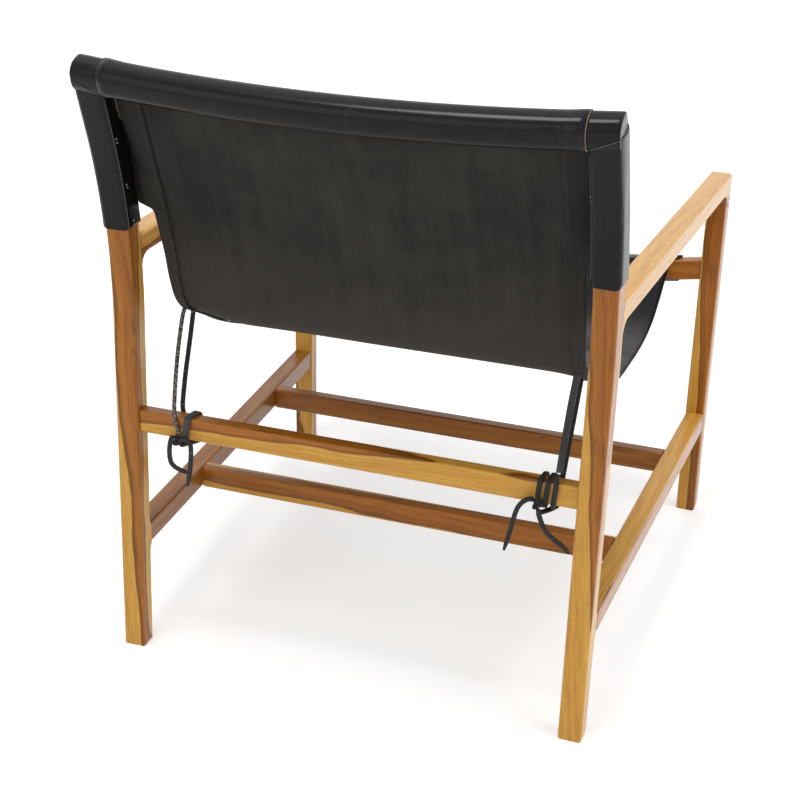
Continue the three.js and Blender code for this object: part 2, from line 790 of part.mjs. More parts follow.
// What lies inside the band's inner edge, which runs from the wing's inset to the seat's inset
function bandTrim(sign) {
  const low = heelHeight;
  const run = farOverrun;
  const rise = bandTop - low;
  const topEdge = wingHalfWidth - bandTopInset;
  const lowEdge = slingSeatHalfWidth - bandSeatInset;
  const slope = (topEdge - lowEdge) / rise;
  const side = new THREE.Shape([
    new THREE.Vector2(-sign * frontHalfWidth, 0),
    new THREE.Vector2(sign * lowEdge, 0),
    new THREE.Vector2(sign * lowEdge, low),
    new THREE.Vector2(sign * (topEdge + slope * run), bandTop + run),
    new THREE.Vector2(-sign * frontHalfWidth, bandTop + run),
  ]);
  const geometry = new THREE.ExtrudeGeometry(side, { depth: frameDepth + 2 * run, bevelEnabled: false });
  geometry.translate(0, 0, -run).applyMatrix4(
    new THREE.Matrix4().makeBasis(
      new THREE.Vector3(1, 0, 0),
      new THREE.Vector3(0, 0, 1),
      new THREE.Vector3(0, -1, 0),
    ),
  );
  return solidFrom(geometry);
}

// Lacing. Its points are set out for one half width of the sling, and move aside with its edges
const laidHalfWidth = 266;

function laceShift(name) {
  const sign = name.startsWith("left") ? 1 : -1;
  return sign * (slingSeatHalfWidth - laidHalfWidth);
}

// Each thong passes through two slots low behind the sitter: the places of the slots
const slots = {
  left: [
    [263.4, -98, 451.6],
    [251.2, -98, 451.6],
  ],
  right: [
    [-254.5, -95, 453.6],
    [-259, -112, 440.7],
  ],
};

function thongSlot(side, [x, y, z]) {
  const size = new THREE.Vector3(thongWidth + slotEase, thongThickness + slotEase, slotDepth);
  const geometry = box(new THREE.Vector3(), size).rotateX(slotTilt);
  return solidFrom(geometry.translate(x + laceShift(side), y, z));
}

// A flat thong's section, as wide across the chair as the thong and as deep as its thickness
function thongSection(sidesAround) {
  const points = [];
  for (let i = 0; i < sidesAround; i += 1) {
    const angle = (2 * Math.PI * (i + 1 / 2)) / sidesAround;
    const across = (thongWidth / 2) * Math.cos(angle);
    points.push(new THREE.Vector2(across, (thongThickness / 2) * Math.sin(angle)));
  }
  return new THREE.Shape(points);
}

// Turns round the rear rail: points about its section, moving along it by the pitch each turn
const turnClearance = thongThickness / 2 + turnGap;

function railTurns(startX, pitch, { firstStep, stepCount, upTheBack }) {
  const section = roundedRectangle(
    rearRailBack - railThickness - turnClearance,
    rearRailTop - railHeight - turnClearance,
    railThickness + 2 * turnClearance,
    railHeight + 2 * turnClearance,
    railEase + turnClearance,
  );
  const loop = section.getSpacedPoints(turnSteps);
  loop.pop();
  if (!upTheBack) loop.reverse();
  const route = [];
  for (let i = 0; i <= stepCount; i += 1) {
    const point = loop[(firstStep + i) % turnSteps];
    route.push([startX + (pitch * i) / turnSteps, point.x, point.y]);
  }
  return route;
}

// Least room a winding leaves to itself: between points more than half a turn apart
function leastGap(route) {
  let least = Infinity;
  route.forEach((from, i) => {
    route.slice(i + turnSteps / 2).forEach((to) => {
      least = Math.min(least, Math.hypot(from[0] - to[0], from[1] - to[1], from[2] - to[2]));
    });
  });
  return least - thongWidth;
}

// Routes of the thongs, point by point
const routes = {
  left_back_strand: [
    [263.4, -97, 450.4],
    [263.4, -92, 445.2],
    [262.6, -84, 437.2],
    [260.4, -75.5, 428.6],
    [258, -67, 420],
    [255.4, -58.2, 411],
    [252.5, -49.3, 401.6],
    [249.4, -40.2, 392],
    [246.1, -31, 382.4],
    [242.7, -22, 372.8],
    [239.6, -13.6, 363.4],
    [237, -7, 354.8],
    [235.2, -3.6, 346.8],
    [233.8, -3.3, 339.6],
    [232.4, -3.3, 333],
    [231.2, -3.3, 327.4],
    [230.2, -3.3, 322.4],
  ],
  left_front_strand: [
    [263.4, -98.4, 452],
    [263, -100.6, 454.4],
    [260.4, -101.6, 455.4],
    [257.3, -101.6, 455.4],
    [254.2, -101.6, 455.4],
    [251.6, -100.6, 454.4],
    [251.2, -98.2, 451.8],
    [251.1, -93.4, 445],
    [250.2, -87, 432.6],
    [248.8, -79.6, 419.8],
    [247.2, -72, 408.4],
    [245.5, -64, 396.9],
    [243.8, -56, 385.8],
    [242.2, -49.3, 376.4],
    [240.4, -42, 366],
    [238.8, -36, 356.8],
    [237.4, -31.4, 348],
    [235.2, -29, 340],
    [232, -28.8, 333],
    [229.2, -28.8, 327],
    [227.6, -28.8, 321.4],
  ],
  right_back_strand: [
    [-254.5, -94.4, 452.8],
    [-254.5, -90, 448],
    [-254.6, -82, 438.6],
    [-254.8, -73.6, 428.6],
    [-255, -65.2, 418.6],
    [-255.5, -56.6, 408.6],
    [-256, -48, 398.8],
    [-256.6, -39.6, 389.4],
    [-257.2, -31.4, 380.4],
    [-257.8, -23.4, 371.8],
    [-258.3, -16.4, 363.4],
    [-258.7, -10.8, 356],
  ],
  right_front_strand: [
    [-254.5, -95.6, 454.2],
    [-254.7, -98, 456.8],
    [-255.4, -102.4, 455.6],
    [-256.6, -107, 451.8],
    [-257.8, -111.6, 447.8],
    [-258.8, -113.8, 444],
    [-259, -112.4, 440.9],
    [-259, -108.5, 436.2],
    [-259.2, -101.8, 426.8],
    [-259.4, -92.6, 414.8],
    [-259.7, -83.4, 403.4],
    [-260, -74.4, 392.2],
    [-260.3, -65.6, 381.2],
    [-260.6, -56.8, 370.4],
    [-260.9, -48.2, 360],
    [-261.2, -40, 350.6],
    [-261.5, -33, 342.4],
    [-261.8, -29.2, 334.4],
    [-262, -28.4, 326],
    [-262, -28.4, 317.6],
    [-261.4, -27, 310.2],
    [-259, -21.6, 306.4],
    [-254.4, -13.4, 305.4],
    [-248.6, -6.4, 304.6],
    [-243.6, -2.8, 304.2],
    [-241.4, -1.4, 307.8],
  ],
  left_long_tail: [
    [236.6, 1.4, 319.4],
    [238.4, 2, 315.6],
    [239.6, 2.6, 309.8],
    [240.7, 3, 302.6],
    [240.9, 3, 295],
    [240.4, 3, 288],
    [238.8, 3, 282.4],
    [235.6, 3, 278.8],
    [231, 3, 276.2],
    [226, 2.6, 274.2],
    [220.8, 2.2, 272.8],
    [215.6, 2, 271.6],
  ],
  left_short_tail: [
    [224.9, 3.6, 316.8],
    [219.4, 5.2, 319.8],
    [214.6, 6, 320.4],
    [211.2, 6.2, 318.2],
    [209.4, 6.2, 313],
    [209, 6.2, 306],
    [209.3, 6.2, 298],
    [210, 6.2, 289.6],
    [211, 6.2, 281],
    [212.2, 6.2, 272.4],
    [213.6, 6, 264],
    [215.2, 5.8, 255.6],
  ],
  right_long_tail: [
    [-234.6, 1.6, 321.4],
    [-230.6, 2.4, 322.2],
    [-225.6, 3, 320],
    [-220.4, 3.2, 315],
    [-216.2, 3.2, 308],
    [-213.6, 3.2, 300],
    [-211.8, 3, 291.4],
    [-209.8, 2.8, 282],
    [-207.8, 2.4, 272.4],
    [-205.6, 2, 262.8],
    [-203.4, 1.6, 253.4],
    [-201.8, 1.2, 247],
  ],
  right_short_tail: [
    [-242.3, 6.1, 311.3],
    [-243, 6.4, 306],
    [-244.2, 5.8, 301.6],
    [-246.2, 5.8, 296.4],
    [-249, 5.8, 290.4],
    [-253.4, 5.8, 284.2],
    [-259, 5.8, 278.8],
    [-265.4, 5.6, 274],
    [-272, 5.4, 269.6],
    [-277.4, 5.2, 265.4],
    [-281.4, 5, 261],
  ],
};
const windings = {
  left_rail_turns: [
    [227.2, -28.8, 320.6],
    ...railTurns(leftTurnStart, -leftTurnPitch, { firstStep: 22, stepCount: 25, upTheBack: true }),
    [208.6, -22.4, 308.4],
    [212, -15, 305.8],
    [217.5, -8.8, 304.2],
    [223.4, -4, 303.2],
    [227, -1, 302.9],
    [228.2, -0.2, 306.6],
  ],
  right_rail_turns: [
    [-258.8, -9.4, 354.2],
    [-259, -5.6, 349],
    ...railTurns(rightTurnStart, rightTurnPitch, { firstStep: 13, stepCount: 51, upTheBack: false }),
    [-238.1, -2.9, 324.4],
  ],
};

const knots = [
  ["left_knot", 230, 314.6],
  ["right_knot", -239.6, 316.4],
];

const thongSteps = 2;
const strandSides = 8;
const turnSides = 6;
const knotSides = 12;
const knotRings = 8;
const lapSides = 6;
const lapSteps = 14;
const lapShare = 1 / 4;

function thong(name, route, sidesAround) {
  const path = new THREE.CatmullRomCurve3(
    route.map(([x, y, z]) => new THREE.Vector3(x + laceShift(name), y, z)),
    false,
    "centripetal",
  );
  const steps = sidesAround === turnSides ? route.length - 1 : (route.length - 1) * thongSteps;
  return new THREE.ExtrudeGeometry(thongSection(sidesAround), {
    steps,
    extrudePath: path,
    bevelEnabled: false,
  });
}

// A thong knot: a pulled-in lump with one turn of thong lying across it
function knot(x, z) {
  const lump = new THREE.SphereGeometry(1, knotSides, knotRings);
  lump.scale(knotWidth / 2, knotDepth / 2, knotHeight / 2);
  const lap = new THREE.TorusGeometry(1, lapShare, lapSides, lapSteps);
  lap.rotateY(Math.PI / 2);
  lap.scale(knotWidth * lapShare, knotDepth / 2 - knotLap, knotHeight / 2 - knotLap);
  lap.rotateY(knotTilt);
  const y = rearRailBack + leatherGap + knotDepth / 2;
  return solidFrom(lump).add(solidFrom(lap)).translate([x, y, z]);
}

const group = new THREE.Group();
const chair = new THREE.Group();
group.add(chair);

for (const { side, sign } of sides) {
  const mirror = new THREE.Group();
  mirror.scale.set(sign, 1, 1);
  const frame = new THREE.Group();
  frame.position.set(rearHalfWidth, 0, 0);
  frame.rotation.z = splay;
  mirror.add(frame);
  chair.add(mirror);
  frame.add(piece(`${side}_rear_leg`, rearLeg(), teak));
  frame.add(piece(`${side}_front_leg`, frontLeg(), teak));
  frame.add(piece(`${side}_arm`, arm(), teak));
  frame.add(piece(`${side}_side_stretcher`, sideStretcher(), teak));
  chair.add(piece(`${side}_corner_cap`, cornerCap(side, sign), grainLeather));
  chair.add(piece(`${side}_post_sleeve`, postSleeve(side, sign), grainLeather));
  chair.add(piece(`${side}_edge_band`, edgeBand(side, sign), fleshLeather));
}

for (const [name, rail] of Object.entries(crossRails)) {
  chair.add(piece(name, crossRail(rail), teak));
}
chair.add(piece("top_rail", topRail(), teak));
chair.add(piece("sling", sling(), fleshLeather));
for (const [name, route] of Object.entries(routes)) {
  chair.add(piece(name, thong(name, route, strandSides), thongLeather));
}
for (const [name, route] of Object.entries(windings)) {
  console.log(`${name}: least gap to itself ${leastGap(route).toFixed(2)} mm`);
  chair.add(piece(name, thong(name, route, turnSides), thongLeather));
}
for (const [name, x, z] of knots) {
  chair.add(piece(name, knot(x + laceShift(name), z), thongLeather));
}

// The origin lies under the middle of the whole chair, on the floor
const bounds = new THREE.Box3().setFromObject(group, true);
const middle = bounds.getCenter(new THREE.Vector3());
chair.position.set(-middle.x, -middle.y, -bounds.min.z);

export default group;
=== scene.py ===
"""Looks of a leather sling lounge chair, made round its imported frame. Metres, +Z up."""

import math

import bmesh
import bpy
import numpy as np
from mathutils import Matrix, Vector, noise
from mathutils.bvhtree import BVHTree


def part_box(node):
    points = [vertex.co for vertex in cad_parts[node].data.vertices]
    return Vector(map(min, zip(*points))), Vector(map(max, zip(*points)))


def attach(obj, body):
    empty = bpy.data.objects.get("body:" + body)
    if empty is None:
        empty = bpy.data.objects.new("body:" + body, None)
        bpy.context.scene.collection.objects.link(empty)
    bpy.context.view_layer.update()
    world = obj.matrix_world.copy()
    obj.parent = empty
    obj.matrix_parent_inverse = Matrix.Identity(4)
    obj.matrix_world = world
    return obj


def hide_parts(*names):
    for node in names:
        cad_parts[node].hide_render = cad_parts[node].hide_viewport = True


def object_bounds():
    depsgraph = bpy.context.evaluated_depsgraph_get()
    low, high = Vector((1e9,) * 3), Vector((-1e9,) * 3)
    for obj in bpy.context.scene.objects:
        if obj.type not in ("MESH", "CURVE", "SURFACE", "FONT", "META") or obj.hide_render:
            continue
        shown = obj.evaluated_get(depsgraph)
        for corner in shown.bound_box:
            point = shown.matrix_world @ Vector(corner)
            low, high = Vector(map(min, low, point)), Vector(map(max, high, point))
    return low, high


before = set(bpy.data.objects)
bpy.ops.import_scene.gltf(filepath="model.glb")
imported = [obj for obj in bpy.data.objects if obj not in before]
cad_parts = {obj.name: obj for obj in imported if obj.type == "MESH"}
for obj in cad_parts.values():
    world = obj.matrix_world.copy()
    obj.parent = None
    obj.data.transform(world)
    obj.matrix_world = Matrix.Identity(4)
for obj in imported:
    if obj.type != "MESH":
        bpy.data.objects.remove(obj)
cad_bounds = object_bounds()

# The view
# A long lens looks down on the chair from behind, and a little from its right side. Its place is
# given in the chair's own frame, whose zero lies under the back faces of the rear legs.
MM = 0.001
REAR_RAIL_BACK = -5.6
CAMERA_PLACE = (-629.9, 1666.8, 1224.0)
CAMERA_TURN = 198.722
CAMERA_HEIGHT_ANGLE = 24.529
CAMERA_ROLL = 1.352
LENS = 73.55
SENSOR = 36

chair_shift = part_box("rear_rail")[1].y - REAR_RAIL_BACK * MM


def chair_point(x, y, z):
    """A point of the chair's own frame, given in millimetres."""
    return Vector((x * MM, y * MM + chair_shift, z * MM))


def camera_axes(turn, height_angle, roll):
    """The camera's right, up and backward directions."""
    a, e, r = (math.radians(angle) for angle in (turn, height_angle, roll))
    backward = Vector((math.sin(a) * math.cos(e), -math.cos(a) * math.cos(e), math.sin(e)))
    level = (-backward).cross(Vector((0, 0, 1))).normalized()
    upright = level.cross(-backward)
    right = math.cos(r) * level + math.sin(r) * upright
    up = math.cos(r) * upright - math.sin(r) * level
    return Matrix((right, up, backward)).transposed()


def add_object(name, data):
    """An object in the scene, with its zero at the origin."""
    made = bpy.data.objects.new(name, data)
    bpy.context.scene.collection.objects.link(made)
    return made


def make_camera():
    lens = bpy.data.cameras.new("camera")
    lens.lens = LENS
    lens.sensor_width = SENSOR
    camera = add_object("camera", lens)
    axes = camera_axes(CAMERA_TURN, CAMERA_HEIGHT_ANGLE, CAMERA_ROLL)
    camera.matrix_world = Matrix.Translation(chair_point(*CAMERA_PLACE)) @ axes.to_4x4()
    bpy.context.scene.camera = camera


make_camera()

# Lacing
# A flat lace, split from a hide and dyed black, holds the sling back to the rear rail at each
# side. It runs from two slots low behind the sitter, winds round the rail and ends in a knot.
THONG_WIDTH = 5.8
THONG_THICKNESS = 3.8
THONG_CORNER = 1.0
TAIL_END_SHARE = 0.55
THONG_STEP = 1.6
LACE_TURN = 0.25
CORNER_POINTS = 4
TURN_GAP = 1.1
TURN_POINTS = 24
RAIL_THICKNESS = 20.5
RAIL_HEIGHT = 30
RAIL_EASE = 3.4
REAR_RAIL_TOP = 343.4
HEEL_CURL = 11
HEEL_CURL_PLACE = (-118, 438)
HEEL_CURL_REACH = 66
HEEL_CURL_FROM = 190
HEEL_CURL_EDGE = 267
HEEL_UPWARD = (0, -0.6, 0.8)
LEFT_TURN_PITCH = 18
RIGHT_TURN_PITCH = 9.9
CENTRIPETAL = 0.5
EVEN = 0.0
LEAST_GAP = 1e-9
LEAST_STEPS = 2

STRANDS = {
    "left_back_strand": [
        (263.4, -97, 450.4),
        (263.4, -92, 445.2),
        (262.6, -84, 437.2),
        (260.4, -75.5, 428.6),
        (258, -67, 420),
        (255.4, -58.2, 411),
        (252.5, -49.3, 401.6),
        (249.4, -40.2, 392),
        (246.1, -31, 382.4),
        (242.7, -22, 372.8),
        (239.6, -13.6, 363.4),
        (237, -7, 354.8),
        (235.2, -3.6, 346.8),
        (233.8, -3.3, 339.6),
        (232.4, -3.3, 333),
        (231.2, -3.3, 327.4),
        (230.2, -3.3, 322.4),
    ],
    "left_front_strand": [
        (263.4, -98.4, 452),
        (263, -100.6, 454.4),
        (260.4, -101.6, 455.4),
        (257.3, -101.6, 455.4),
        (254.2, -101.6, 455.4),
        (251.6, -100.6, 454.4),
        (251.2, -98.2, 451.8),
        (251.1, -93.4, 445),
        (250.2, -87, 432.6),
        (248.8, -79.6, 419.8),
        (247.2, -72, 408.4),
        (245.5, -64, 396.9),
        (243.8, -56, 385.8),
        (242.2, -49.3, 376.4),
        (240.4, -42, 366),
        (238.8, -36, 356.8),
        (237.4, -31.4, 348),
        (235.2, -29, 340),
        (232, -28.8, 333),
        (229.2, -28.8, 327),
        (227.6, -28.8, 321.4),
    ],
    "right_back_strand": [
        (-254.5, -94.4, 452.8),
        (-254.5, -90, 448),
        (-254.6, -82, 438.6),
        (-254.8, -73.6, 428.6),
        (-255, -65.2, 418.6),
        (-255.5, -56.6, 408.6),
        (-256, -48, 398.8),
        (-256.6, -39.6, 389.4),
        (-257.2, -31.4, 380.4),
        (-257.8, -23.4, 371.8),
        (-258.3, -16.4, 363.4),
        (-258.7, -10.8, 356),
    ],
    "right_front_strand": [
        (-254.5, -95.6, 454.2),
        (-254.7, -98, 456.8),
        (-255.4, -102.4, 455.6),
        (-256.6, -107, 451.8),
        (-257.8, -111.6, 447.8),
        (-258.8, -113.8, 444),
        (-259, -112.4, 440.9),
        (-259, -108.5, 436.2),
        (-259.2, -101.8, 426.8),
        (-259.4, -92.6, 414.8),
        (-259.7, -83.4, 403.4),
        (-260, -74.4, 392.2),
        (-260.3, -65.6, 381.2),
        (-260.6, -56.8, 370.4),
        (-260.9, -48.2, 360),
        (-261.2, -40, 350.6),
        (-261.5, -33, 342.4),
        (-261.8, -29.2, 334.4),
        (-262, -28.4, 326),
        (-262, -28.4, 317.6),
        (-261.4, -27, 310.2),
        (-259, -21.6, 306.4),
        (-254.4, -13.4, 305.4),
        (-248.6, -6.4, 304.6),
        (-243.6, -2.8, 304.2),
        (-241.4, -1.4, 307.8),
    ],
}
TAILS = {
    "left_long_tail": [
        (236.6, 1.4, 319.4),
        (238.4, 2, 315.6),
        (239.6, 2.6, 309.8),
        (240.7, 3, 302.6),
        (240.9, 3, 295),
        (240.4, 3, 288),
        (238.8, 3, 282.4),
        (235.6, 3, 278.8),
        (231, 3, 276.2),
        (226, 2.6, 274.2),
        (220.8, 2.2, 272.8),
        (215.6, 2, 271.6),
    ],
    "left_short_tail": [
        (224.9, 3.6, 316.8),
        (219.4, 5.2, 319.8),
        (214.6, 6, 320.4),
        (211.2, 6.2, 318.2),
        (209.4, 6.2, 313),
        (209, 6.2, 306),
        (209.3, 6.2, 298),
        (210, 6.2, 289.6),
        (211, 6.2, 281),
        (212.2, 6.2, 272.4),
        (213.6, 6, 264),
        (215.2, 5.8, 255.6),
    ],
    "right_long_tail": [
        (-234.6, 1.6, 321.4),
        (-230.6, 2.4, 322.2),
        (-225.6, 3, 320),
        (-220.4, 3.2, 315),
        (-216.2, 3.2, 308),
        (-213.6, 3.2, 300),
        (-211.8, 3, 291.4),
        (-209.8, 2.8, 282),
        (-207.8, 2.4, 272.4),
        (-205.6, 2, 262.8),
        (-203.4, 1.6, 253.4),
        (-201.8, 1.2, 247),
    ],
    "right_short_tail": [
        (-242.3, 6.1, 311.3),
        (-243, 6.4, 306),
        (-244.2, 5.8, 301.6),
        (-246.2, 5.8, 296.4),
        (-249, 5.8, 290.4),
        (-253.4, 5.8, 284.2),
        (-259, 5.8, 278.8),
        (-265.4, 5.6, 274),
        (-272, 5.4, 269.6),
        (-277.4, 5.2, 265.4),
        (-281.4, 5, 261),
    ],
}


def share_between(value, low, high):
    """How far a value has come from low to high, from 0 to 1."""
    return min(1.0, max(0.0, (value - low) / (high - low)))


def smooth_share(value, low, high):
    """The same share, but starting and ending gently."""
    share = share_between(value, low, high)
    return share * share * (3 - 2 * share)


def heel_curl(x, y, z):
    """How far the left corner of the sling's heel curls up, where the laces leave it."""
    share = smooth_share(x, HEEL_CURL_FROM, HEEL_CURL_EDGE)
    away = math.hypot(y - HEEL_CURL_PLACE[0], z - HEEL_CURL_PLACE[1])
    return HEEL_CURL * share * math.exp(-((away / HEEL_CURL_REACH) ** 2))


def rounded_rectangle(left, bottom, width, height, radius, corner_points):
    """Points round a rectangle with round corners, from the start of its lower edge."""
    centres = [
        (left + width - radius, bottom + radius, -90),
        (left + width - radius, bottom + height - radius, 0),
        (left + radius, bottom + height - radius, 90),
        (left + radius, bottom + radius, 180),
    ]
    points = []
    for x, y, start in centres:
        for i in range(corner_points + 1):
            angle = math.radians(start + 90 * i / corner_points)
            points.append((x + radius * math.cos(angle), y + radius * math.sin(angle)))
    return points


def reach_along(line):
    """How far along a line each of its points lies."""
    return np.concatenate([[0], np.cumsum(np.linalg.norm(np.diff(line, axis=0), axis=1))])


def directions(line):
    """The way that a line runs at each of its points."""
    tangents = np.gradient(line, axis=0)
    return tangents / np.linalg.norm(tangents, axis=1)[:, None]


def evenly_spaced(points, count):
    """The closed outline's points, spaced evenly along it."""
    closed = np.array(points + [points[0]])
    reach = reach_along(closed)
    places = np.linspace(0, reach[-1], count, endpoint=False)
    return np.stack([np.interp(places, reach, closed[:, i]) for i in (0, 1)], axis=1)


def smooth_line(points, spacing, step):
    """A smooth curve through the points: its knots lie apart by the distance to that power."""
    p = [np.array(point, float) for point in points]
    p = [2 * p[0] - p[1], *p, 2 * p[-1] - p[-2]]
    made = []
    for i in range(1, len(p) - 2):
        gaps = [max(np.linalg.norm(p[i + k] - p[i + k - 1]), LEAST_GAP) ** spacing for k in (0, 1, 2)]
        start = (p[i] - p[i - 1]) / gaps[0] - (p[i + 1] - p[i - 1]) / (gaps[0] + gaps[1])
        start = (start + (p[i + 1] - p[i]) / gaps[1]) * gaps[1]
        end = (p[i + 1] - p[i]) / gaps[1] - (p[i + 2] - p[i]) / (gaps[1] + gaps[2])
        end = (end + (p[i + 2] - p[i + 1]) / gaps[2]) * gaps[1]
        count = max(LEAST_STEPS, round(np.linalg.norm(p[i + 1] - p[i]) / step))
        for k in range(count):
            t = k / count
            blend = 2 * t**3 - 3 * t**2
            made.append(
                (1 + blend) * p[i]
                + (t**3 - 2 * t**2 + t) * start
                - blend * p[i + 1]
                + (t**3 - t**2) * end
            )
    made.append(p[-2])
    return np.array(made)


def rail_turns(start_x, pitch, first, count, up_the_back):
    """Turns round the rear rail, a step of the pitch along it at each point. The loop's points
    are counted from the front end of the rail's under face."""
    clear = THONG_THICKNESS / 2 + TURN_GAP
    outline = rounded_rectangle(
        REAR_RAIL_BACK - RAIL_THICKNESS - clear,
        REAR_RAIL_TOP - RAIL_HEIGHT - clear,
        RAIL_THICKNESS + 2 * clear,
        RAIL_HEIGHT + 2 * clear,
        RAIL_EASE + clear,
        CORNER_POINTS,
    )
    loop = evenly_spaced([outline[-1], *outline[:-1]], TURN_POINTS)
    if not up_the_back:
        loop = loop[::-1]
    turns = []
    for i in range(count + 1):
        y, z = loop[(first + i) % TURN_POINTS]
        turns.append((start_x + pitch * i / TURN_POINTS, y, z))
    return turns


WINDINGS = {
    "left_rail_turns": [
        (227.2, -28.8, 320.6),
        *rail_turns(start_x=226.8, pitch=-LEFT_TURN_PITCH, first=22, count=25, up_the_back=True),
        (208.6, -22.4, 310),
        (212, -15, 309.8),
        (217.5, -8.8, 309.2),
        (223.4, -4, 308.2),
        (227, -1, 308),
        (228.2, -0.2, 310),
    ],
    "right_rail_turns": [
        (-258.8, -9.4, 354.2),
        (-259, -5.6, 349),
        *rail_turns(start_x=-259.2, pitch=RIGHT_TURN_PITCH, first=13, count=51, up_the_back=False),
        (-238.1, -2.9, 324.4),
    ],
}


def new_object(name, vertices, faces):
    """A mesh object, shaded smooth."""
    mesh = bpy.data.meshes.new(name)
    mesh.from_pydata([tuple(v) for v in vertices], [], faces)
    mesh.update()
    for face in mesh.polygons:
        face.use_smooth = True
    return add_object(name, mesh)


def swept_lace(name, line, broad_axis, width=THONG_WIDTH, thickness=THONG_THICKNESS, taper=0):
    """A flat lace along a line in the chair's frame. It lies with its width along broad_axis."""
    section = rounded_rectangle(
        -width / 2, -thickness / 2, width, thickness, THONG_CORNER, CORNER_POINTS
    )
    around = len(section)
    reach = reach_along(line)
    vertices = []
    across = np.array(broad_axis, float)
    for i, (place, tangent) in enumerate(zip(line, directions(line))):
        wanted = np.array(broad_axis) - tangent * np.dot(broad_axis, tangent)
        if np.dot(wanted, across) < 0:
            wanted = -wanted
        across = across + LACE_TURN * wanted
        across -= tangent * np.dot(across, tangent)
        across /= np.linalg.norm(across)
        upward = np.cross(tangent, across)
        left = min(1.0, (reach[-1] - reach[i]) / taper) if taper else 1.0
        narrowed = TAIL_END_SHARE + (1 - TAIL_END_SHARE) * left
        for w, t in section:
            vertices.append(chair_point(*(place + across * w * narrowed + upward * t)))
    faces = []
    rings = len(line)
    for i in range(rings - 1):
        for k in range(around):
            a, b = i * around + k, i * around + (k + 1) % around
            faces.append((a, b, b + around, a + around))
    faces.append(tuple(reversed(range(around))))
    faces.append(tuple(range((rings - 1) * around, rings * around)))
    made = new_object(name, vertices, faces)
    fix_normals(made)
    lace_map(made, reach, around)
    return made


def fix_normals(piece):
    """Turns every face of a closed mesh outwards."""
    mesh = bmesh.new()
    mesh.from_mesh(piece.data)
    bmesh.ops.recalc_face_normals(mesh, faces=mesh.faces)
    mesh.to_mesh(piece.data)
    mesh.free()


def lace_map(piece, reach, around):
    """Stores how far along the lace each point lies, and where it lies round the lace."""
    along = piece.data.attributes.new("along_lace", "FLOAT_VECTOR", "POINT")
    for i, vertex in enumerate(along.data):
        vertex.vector = (reach[i // around] * MM, (i % around) / around, 0)


def add_node(tree, kind, inputs=None, **settings):
    """A shader or geometry node with its settings, and its inputs as values or links."""
    made = tree.nodes.new(kind)
    for name, value in settings.items():
        setattr(made, name, value)
    for socket, value in (inputs or {}).items():
        if isinstance(value, bpy.types.NodeSocket):
            tree.links.new(value, made.inputs[socket])
        else:
            made.inputs[socket].default_value = value
    return made


def math_node(tree, operation, first, second=0.0, third=0.0, clamp=False):
    made = add_node(
        tree, "ShaderNodeMath", {0: first, 1: second, 2: third}, operation=operation, use_clamp=clamp
    )
    return made.outputs[0]


def mix_colour(tree, share, first, second, blend_type="MIX"):
    inputs = {0: share, 6: first, 7: second}
    made = add_node(tree, "ShaderNodeMix", inputs, data_type="RGBA", blend_type=blend_type)
    return made.outputs[2]


def stretch(tree, vector, scale):
    made = add_node(tree, "ShaderNodeVectorMath", {0: vector, 1: scale}, operation="MULTIPLY")
    return made.outputs[0]


def noise_node(tree, vector, scale, detail, roughness):
    inputs = {"Vector": vector, "Scale": scale, "Detail": detail, "Roughness": roughness}
    return add_node(tree, "ShaderNodeTexNoise", inputs).outputs


def noise_value(tree, vector, noise_shape):
    return noise_node(tree, vector, *noise_shape)["Fac"]


def stretched_noise(tree, vector, scale, noise_shape):
    return noise_value(tree, stretch(tree, vector, scale), noise_shape)


def mask(tree, value, low, high, to_low=0.0, to_high=1.0):
    """A smooth step from one level to another, while a value goes from low to high."""
    inputs = {"Value": value, "From Min": low, "From Max": high, "To Min": to_low, "To Max": to_high}
    made = add_node(tree, "ShaderNodeMapRange", inputs, interpolation_type="SMOOTHSTEP")
    return made.outputs["Result"]


def paint(red, green, blue):
    """A colour as it is seen, from 0 to 255, in the renderer's linear values."""
    shares = [channel / 255 for channel in (red, green, blue)]
    linear = [c / 12.92 if c <= 0.04045 else ((c + 0.055) / 1.055) ** 2.4 for c in shares]
    return (*linear, 1.0)


def object_place(tree):
    return add_node(tree, "ShaderNodeTexCoord").outputs["Object"]


def stored(tree, name):
    """What the piece's own attribute of that name holds."""
    return add_node(tree, "ShaderNodeAttribute", attribute_name=name).outputs["Vector"]


def split_vector(tree, vector):
    return add_node(tree, "ShaderNodeSeparateXYZ", {"Vector": vector}).outputs


def effect_group(name, inputs, outputs):
    """An empty shader group with its sockets, and the nodes that hold its inputs and outputs."""
    group = bpy.data.node_groups.new(name, "ShaderNodeTree")
    for socket, kind, value in inputs:
        made = group.interface.new_socket(socket, in_out="INPUT", socket_type=kind)
        if value is not None:
            made.default_value = value
    for socket, kind in outputs:
        group.interface.new_socket(socket, in_out="OUTPUT", socket_type=kind)
    return group, group.nodes.new("NodeGroupInput").outputs, group.nodes.new("NodeGroupOutput").inputs


def new_material(name, roughness, specular=0.5):
    made = bpy.data.materials.new(name)
    made.use_nodes = True
    shader = made.node_tree.nodes["Principled BSDF"]
    shader.inputs["Roughness"].default_value = roughness
    shader.inputs["Specular IOR Level"].default_value = specular
    return made, made.node_tree, shader


def use_group(tree, group, inputs):
    return add_node(tree, "ShaderNodeGroup", inputs, node_tree=group).outputs


def coat(shader, weight, roughness, refraction):
    shader.inputs["Coat Weight"].default_value = weight
    shader.inputs["Coat Roughness"].default_value = roughness
    shader.inputs["Coat IOR"].default_value = refraction


def bump(tree, shader, height, strength, distance):
    inputs = {"Height": height, "Strength": strength, "Distance": distance}
    made = add_node(tree, "ShaderNodeBump", inputs)
    tree.links.new(made.outputs["Normal"], shader.inputs["Normal"])


